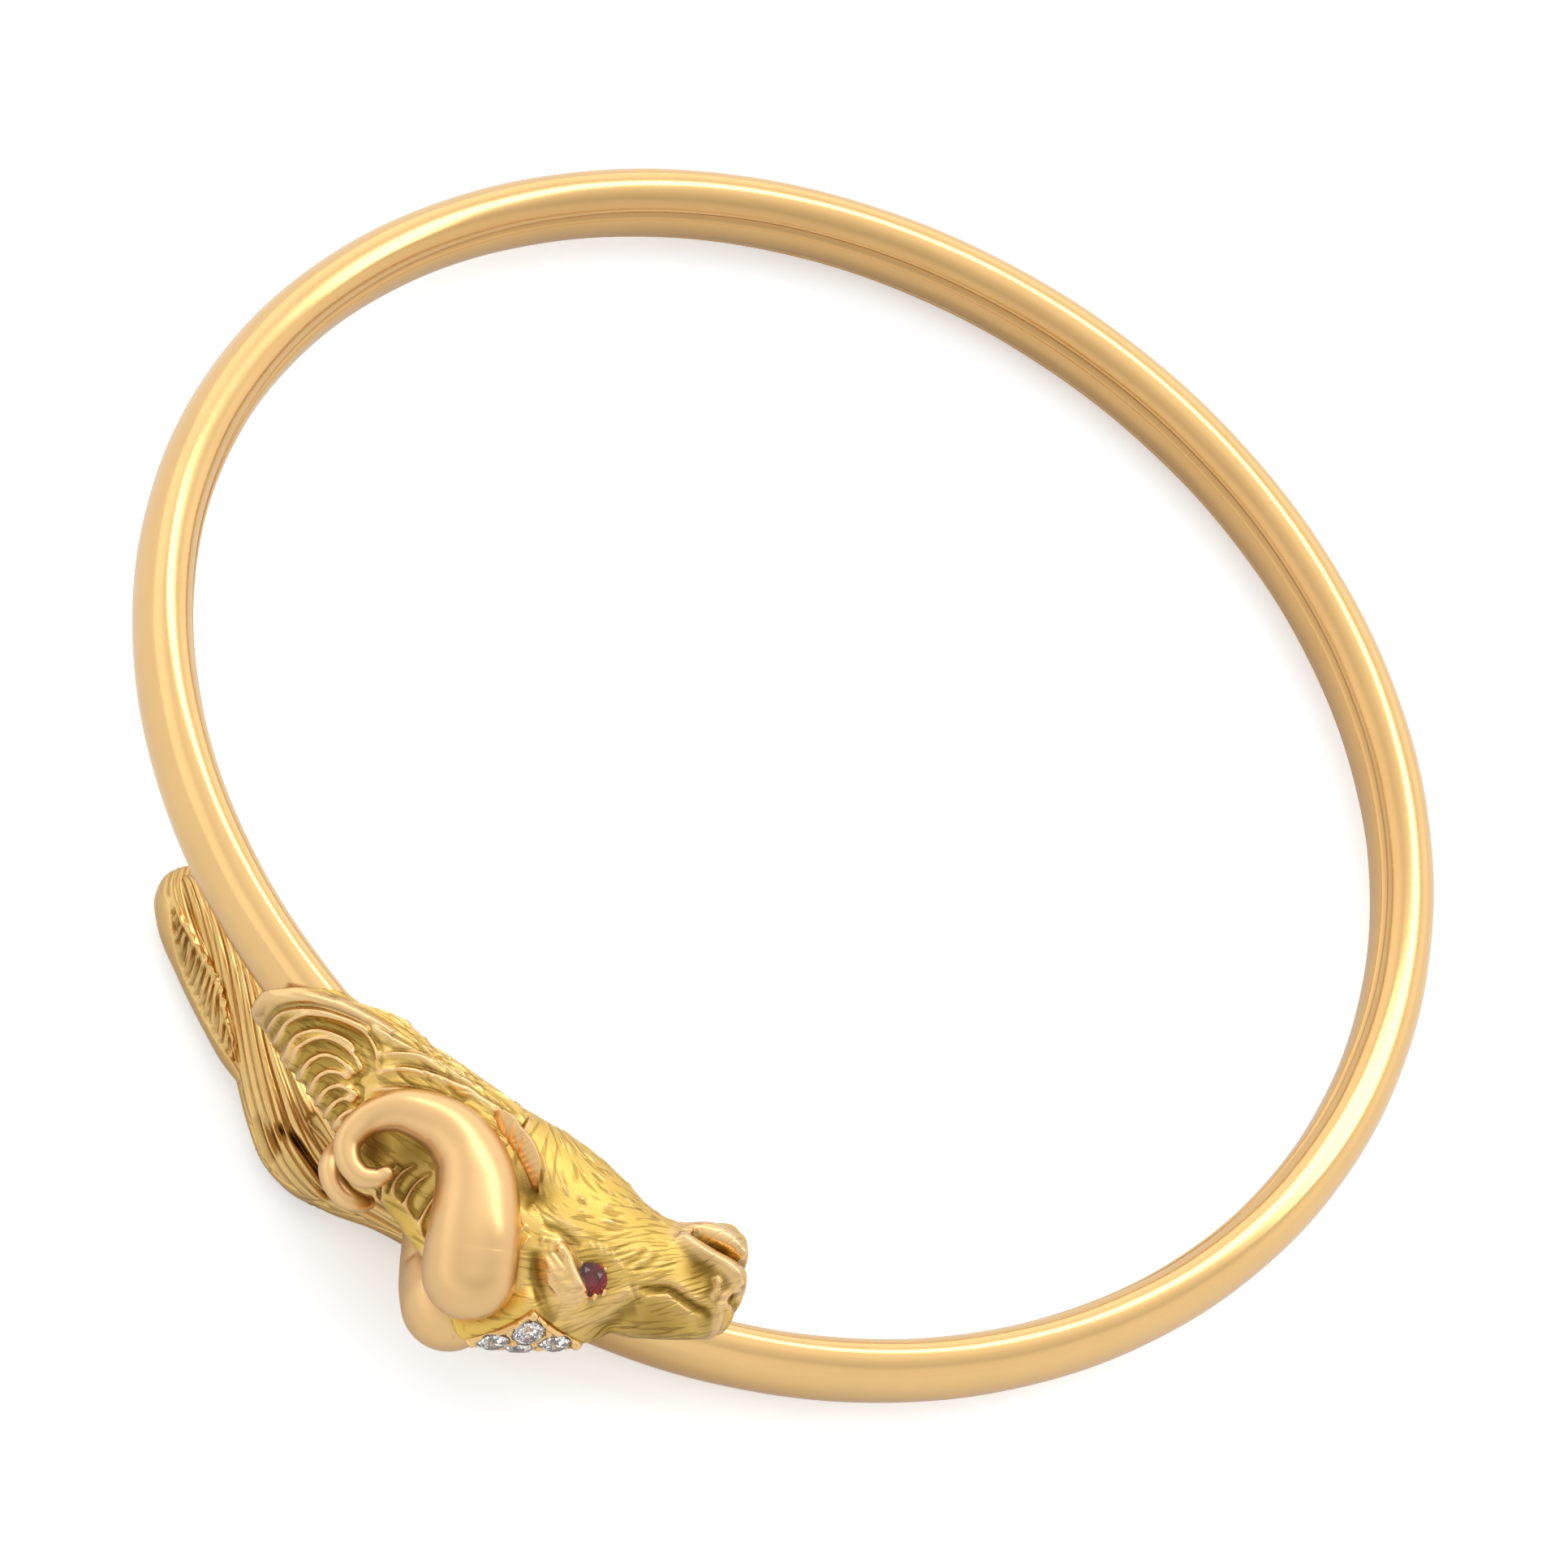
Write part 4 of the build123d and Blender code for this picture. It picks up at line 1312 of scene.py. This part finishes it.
def make_painted_shade():
    """Paints shade: mixes the metal's colour towards a darker one by the crease mark, where the
    surface was chased down or lies in shade.
    """
    tree, given, end = new_group(
        "Painted shade of recesses",
        [("Metal", COLOUR, (1, 1, 1, 1)), ("Recess", COLOUR, (0.3, 0.15, 0.05, 1)),
         ("Strength", VALUE, 1.0)], [("Color", COLOUR)])
    share = product(tree, mark(tree, "crease"), given["Strength"])
    fit(tree, end, Color=mixed(tree, share, given["Metal"], given["Recess"]))
    return tree


def make_tone():
    """Slow changes of tone over a surface, as a value about 0.5."""
    tree, given, end = new_group("Slow tone", [("Scale", VALUE, 250.0)], [("Value", VALUE)])
    fit(tree, end, Value=noise(tree, place_on(tree), Scale=given["Scale"], Detail=3.0, Roughness=0.55))
    return tree


def use_group(tree, group, **values):
    return add_node(tree, "ShaderNodeGroup", node_tree=group, **values)


wear_group = make_wear()
shade_group = make_painted_shade()
tone_group = make_tone()
print("groups:", wear_group.name, shade_group.name, tone_group.name)

# %% [markdown]
# ## The golds
# Three golds are used: yellow for the band and the tail, a pinker one for the horns and ears,
# and a greener one for the head and neck, whose open surfaces are matte while ridges shine. A
# metal's base colour is the colour of what it reflects, so it is the gold itself. Each gold has
# a darker, redder second colour for painted shade. The matte gold also has fine hair lines,
# short cuts along the hair and a grain, all too small to model, and painted shade in its cuts.

# %% The matte surface
# How fine each noise is along the hair and across it, per millimetre, and its detail.
HAIR_FINENESS = (0.9, 11.0, 3.0)
CUT_FINENESS = (0.95, 5.0, 0.4)
HAIR_HEIGHT = 3.4
CUT_HEIGHT = 5.0
CUT_SHARPNESS = 14.0
CUT_SHARE = 0.37
CUT_SHADE = 0.45
GRAIN_HEIGHT = 2.4
GRAIN_SCALE = 18000


def hair_noise(tree, along, across, detail):
    """A noise drawn out along the hair, by the distances in millimetres kept on the mesh."""
    join_axes = add_node(tree, "ShaderNodeCombineXYZ", X=product(tree, mark(tree, "along"), along),
                         Y=product(tree, mark(tree, "across"), across))
    return noise(tree, join_axes.outputs[0], Scale=1.0, Detail=detail, Roughness=0.65)


def hair_cuts(tree):
    """Thin short cuts that follow the hair: 0 in a cut and 1 between them."""
    above = math_node(tree, "SUBTRACT", hair_noise(tree, *CUT_FINENESS), CUT_SHARE)
    edge = math_node(tree, "MAXIMUM", product(tree, above, CUT_SHARPNESS), 0.0)
    return math_node(tree, "MINIMUM", edge, 1.0)


def hair_height(tree, cuts):
    """Hair lines, with cuts between them and a grain over all."""
    hair = product(tree, hair_noise(tree, *HAIR_FINENESS), HAIR_HEIGHT)
    grain = noise(tree, place_on(tree), Scale=GRAIN_SCALE, Detail=1.0)
    return total(tree, total(tree, hair, product(tree, cuts, CUT_HEIGHT)),
                 product(tree, grain, GRAIN_HEIGHT))


print("grain:", round(1000 / GRAIN_SCALE, 3), "mm")

# %% The golds
TONE_SCALE = 260.0
TONE_RANGE = (0.94, 1.05)
SCRATCH_DULLING = 0.18
SHADE_STRENGTH = 0.85
BUMP_STRENGTH = 0.3
BUMP_DISTANCE = 0.00002


def gold(name, colour, shade_colour, roughness, scratches, matte=None):
    """A gold: polished all over, or matte, in a second colour, where it isn't marked polished."""
    material, tree, shader = new_material(name)
    tone = use_group(tree, tone_group, Scale=TONE_SCALE)
    shades = [tuple(min(1, c * share) for c in colour) for share in TONE_RANGE]
    metal = mixed(tree, tone.outputs["Value"], *shades)
    wear = use_group(tree, wear_group, Scale=1.0, Amount=scratches)
    rough = total(tree, product(tree, wear.outputs["Mask"], SCRATCH_DULLING), roughness)
    height = wear.outputs["Height"]
    if matte:
        matte_colour, dullness = matte
        dim = math_node(tree, "SUBTRACT", 1.0, mark(tree, "polish"))
        metal = mixed(tree, dim, metal, matte_colour)
        rough = total(tree, rough, product(tree, dim, dullness))
        cuts = hair_cuts(tree)
        height = total(tree, height, product(tree, hair_height(tree, cuts), dim))
        # Painted shade in the cuts of the matte surface.
        in_cut = product(tree, math_node(tree, "SUBTRACT", 1.0, cuts), dim)
        metal = mixed(tree, product(tree, in_cut, CUT_SHADE), metal, shade_colour)
    # Painted shade: the colour goes toward the darker one where the crease mark says.
    deep = use_group(tree, shade_group, Metal=metal, Recess=shade_colour, Strength=SHADE_STRENGTH)
    bump = add_node(tree, "ShaderNodeBump", Strength=BUMP_STRENGTH, Distance=BUMP_DISTANCE,
                    Height=height)
    fit(tree, shader, Metallic=1.0, Base_Color=deep.outputs["Color"], Roughness=rough,
        Normal=bump.outputs["Normal"])
    return material


# Each gold's second colour is its painted shade.
RED_SHADE = (0.30, 0.13, 0.03)
polished_gold = gold("polished yellow gold", (0.82, 0.53, 0.225), RED_SHADE, 0.17, 0.6)
tail_gold = gold("chased yellow gold", (0.70, 0.465, 0.18), (0.22, 0.11, 0.025), 0.27, 0.8)
horn_gold = gold("polished pink gold", (0.76, 0.49, 0.225), RED_SHADE, 0.32, 0.5)
head_gold = gold("matte green gold", (0.80, 0.53, 0.25), (0.14, 0.068, 0.006), 0.16, 0.7,
                 matte=((0.75, 0.505, 0.125), 0.28))
print("golds:", [metal.name for metal in (polished_gold, tail_gold, horn_gold, head_gold)])

# %% [markdown]
# ## What the stones are
# A diamond is clear and bends light strongly, so what it shows is its own back facets. Its faint
# warm tint is a painted reflection of the gold round it. A ruby bends light less and takes out
# all but the red.

# %% Diamond and ruby
STONE_TONE_SCALE = 900.0
STONE_SHADE = 0.9
STONE_ROUGHNESS = 0.01


def glassy(name, colour, bend, gloss):
    material, tree, shader = new_material(name)
    tone = use_group(tree, tone_group, Scale=STONE_TONE_SCALE).outputs["Value"]
    shade = mixed(tree, tone, tuple(c * STONE_SHADE for c in colour), colour)
    fit(tree, shader, Transmission_Weight=1.0, IOR=bend, Specular_IOR_Level=gloss,
        Base_Color=shade, Roughness=product(tree, tone, STONE_ROUGHNESS))
    return material


# The diamond's faint warm tint is a painted reflection of the gold round it.
diamond = glassy("diamond", (1.0, 0.955, 0.92), 2.42, 0.5)
ruby = glassy("ruby", (0.46, 0.004, 0.016), 1.6, 0.02)
print("stones:", diamond.name, ruby.name)

# %% [markdown]
# ## Dressing the solids
# Each new piece takes its finish, rides on the bangle and stands for the solid it covers. The
# soldered gold is one solid, so its pieces all stand for the same one.

# %% Dress the solids
dressed = []


def dress(pieces, material, nodes):
    for piece, node in zip(pieces, nodes):
        piece.data.materials.append(material)
        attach(piece, "root")
        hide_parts(node)
        dressed.append(piece.name)


soldered = [(band, polished_gold), (neck, head_gold), (head, head_gold), (ears[0], horn_gold),
            (ears[1], horn_gold), (tail, tail_gold), (tip, tail_gold), (plaque, polished_gold),
            (eye_grains[0], polished_gold), (eye_grains[1], polished_gold)]
for piece, metal in soldered:
    dress([piece], metal, ["bangle"])
dress(horns, horn_gold, ["horn_left", "horn_right"])
dress(rubies, ruby, ["eye_left", "eye_right"])
dress(diamonds, diamond, ["diamond_" + name for name in stone_places])
print("dressed", len(dressed), "pieces")

# %% [markdown]
# ## The floor
# The bangle lies on a white sheet. Where the camera sees it, the sheet has a painted glow that
# lightens the shadows on it, and a little blue that takes the warm tint of light bounced from
# the gold out of them, so it looks as white as in the photograph. What the gold sees of the
# sheet is softer, or every surface that looks down would be too bright.

# %% Floor
FLOOR_HALF = 600.0
SHEET_SEEN = (0.90, 0.945, 0.99)
SHEET_REFLECTED = (0.78, 0.79, 0.81)
SHEET_PAINTED_GLOW = 0.34


def make_floor():
    corners = np.array([(-1, -1, 0), (1, -1, 0), (1, 1, 0), (-1, 1, 0)]) * FLOOR_HALF
    floor = mesh_object("floor", corners, [[0, 1, 2, 3]], smooth=False)
    material, tree, shader = new_material("white sheet")
    seen = tree.nodes.new("ShaderNodeLightPath").outputs["Is Camera Ray"]
    # Camera rays see a bluer sheet with a painted glow that lightens its shadows.
    fit(tree, shader, Roughness=0.9, Specular_IOR_Level=0.1, Emission_Color=(1, 1, 1),
        Base_Color=mixed(tree, seen, SHEET_REFLECTED, SHEET_SEEN),
        Emission_Strength=product(tree, seen, SHEET_PAINTED_GLOW))
    floor.data.materials.append(material)
    return floor


floor = make_floor()
tell(floor)

# %% [markdown]
# ## The light
# Polished gold shows only what surrounds it, so the sky isn't even: it is darker at half its
# height and toward one side, which gives the band its long dark and bright stripes. One long
# strip lamp hangs behind the bangle. A cut stone sparkles because it sees small lamps and dark
# gaps, so light that goes through a stone meets a sky with patches.

# %% Light
SKY_LEVEL = 1.25
DARK_SIDE = (0.79, -0.62, 0.0)
DARK_SIDE_FALL = 0.2
PATCH_SCALE = 4.0
PATCH_EDGE = (0.44, 0.60)
PATCH_LEVELS = (0.12, 2.2)
STRIP_PLACE = (0, 280, 415)
STRIP_AIM = (0, 0, 5)
STRIP_SIZE = (0.9, 0.13)
STRIP_POWER = 1.1
sky_rows = [
    # height, from 0 straight down to 1 overhead, and share of the sky's level
    (0.00, 0.880),
    (0.50, 1.000),
    (0.66, 0.960),
    (0.80, 0.736),
    (0.92, 0.816),
    (1.00, 0.960),
]


def sky_colour(tree, height):
    ramp = add_node(tree, "ShaderNodeValToRGB")
    ramp.color_ramp.interpolation = "EASE"
    while len(ramp.color_ramp.elements) < len(sky_rows):
        ramp.color_ramp.elements.new(0.5)
    for element, (place, share) in zip(ramp.color_ramp.elements, sky_rows):
        element.position = place
        element.color = (share, share, share, 1)
    feed(tree, ramp.inputs[0], height)
    return ramp.outputs[0]


def make_sky():
    world = bpy.data.worlds.new("studio")
    bpy.context.scene.world = world
    world.use_nodes = True
    tree = world.node_tree
    way = place_on(tree, "Generated")
    rise = add_node(tree, "ShaderNodeSeparateXYZ", Vector=way).outputs["Z"]
    height = total(tree, product(tree, rise, 0.5), 0.5)
    toward_dark = add_node(tree, "ShaderNodeVectorMath", operation="DOT_PRODUCT")
    feed(tree, toward_dark.inputs[0], way)
    feed(tree, toward_dark.inputs[1], DARK_SIDE)
    fall = product(tree, toward_dark.outputs["Value"], -DARK_SIDE_FALL)
    strength = product(tree, total(tree, fall, 1.0), SKY_LEVEL)
    patches = noise(tree, way, Scale=PATCH_SCALE, Detail=0.0)
    contrast = add_node(tree, "ShaderNodeMapRange", Value=patches,
                        From_Min=PATCH_EDGE[0], From_Max=PATCH_EDGE[1],
                        To_Min=PATCH_LEVELS[0], To_Max=PATCH_LEVELS[1])
    through_stone = add_node(tree, "ShaderNodeLightPath").outputs["Is Transmission Ray"]
    seen = add_node(tree, "ShaderNodeMix", Factor=through_stone, A=1.0,
                    B=contrast.outputs["Result"])
    fit(tree, tree.nodes["Background"], Color=sky_colour(tree, height),
        Strength=product(tree, strength, seen.outputs["Result"]))


def make_strip():
    """The strip lamp: its place and aim are in millimetres, its size in metres."""
    lamp = bpy.data.lights.new("strip light", "AREA")
    lamp.shape = "RECTANGLE"
    lamp.size, lamp.size_y = STRIP_SIZE
    lamp.energy = STRIP_POWER
    holder = bpy.data.objects.new("strip light", lamp)
    holder.location = Vector(STRIP_PLACE) * MM
    toward = Vector(STRIP_AIM) * MM - holder.location
    holder.rotation_euler = toward.to_track_quat("-Z", "Y").to_euler()
    bpy.context.scene.collection.objects.link(holder)


make_sky()
make_strip()
print("light: a sky and a strip lamp of", STRIP_POWER, "W")

# %% [markdown]
# ## The camera
# The camera looks down from the head's side and is rolled, as in the photograph. Its lens is
# worked out from the distance and from how many pixels a millimetre takes there.

# %% Camera
CAMERA_ELEVATION = 60.0
CAMERA_ROLL = 34.3
CAMERA_DISTANCE = 600.0
PHOTO_PIXELS = 1932
PIXELS_PER_MM = 26.1
AIM_RIGHT = 0.29
AIM_UP = 1.2
PHOTO_MIDDLE = (962.8, 961.7)


def make_camera():
    tilt = np.radians(CAMERA_ELEVATION)
    roll = np.radians(CAMERA_ROLL)
    level_right = np.array([1.0, 0.0, 0.0])
    level_up = np.array([0.0, np.sin(tilt), np.cos(tilt)])
    back = np.array([0.0, -np.cos(tilt), np.sin(tilt)])
    right = np.cos(roll) * level_right + np.sin(roll) * level_up
    up = -np.sin(roll) * level_right + np.cos(roll) * level_up
    aim = ring_middle + AIM_RIGHT * level_right + AIM_UP * level_up
    aim = aim - right * (PHOTO_MIDDLE[0] - PHOTO_PIXELS / 2) / PIXELS_PER_MM
    aim = aim + up * (PHOTO_MIDDLE[1] - PHOTO_PIXELS / 2) / PIXELS_PER_MM
    lens = bpy.data.cameras.new("camera")
    lens.sensor_width = 36.0
    lens.lens = lens.sensor_width * PIXELS_PER_MM * CAMERA_DISTANCE / PHOTO_PIXELS
    lens.clip_start = 0.01
    camera = bpy.data.objects.new("camera", lens)
    camera.matrix_world = frame_of(right, up, back, aim + back * CAMERA_DISTANCE)
    bpy.context.scene.collection.objects.link(camera)
    bpy.context.scene.camera = camera
    return camera


camera = make_camera()
print("lens:", round(camera.data.lens, 1), "mm")
bpy.context.scene.view_settings.view_transform = "Standard"
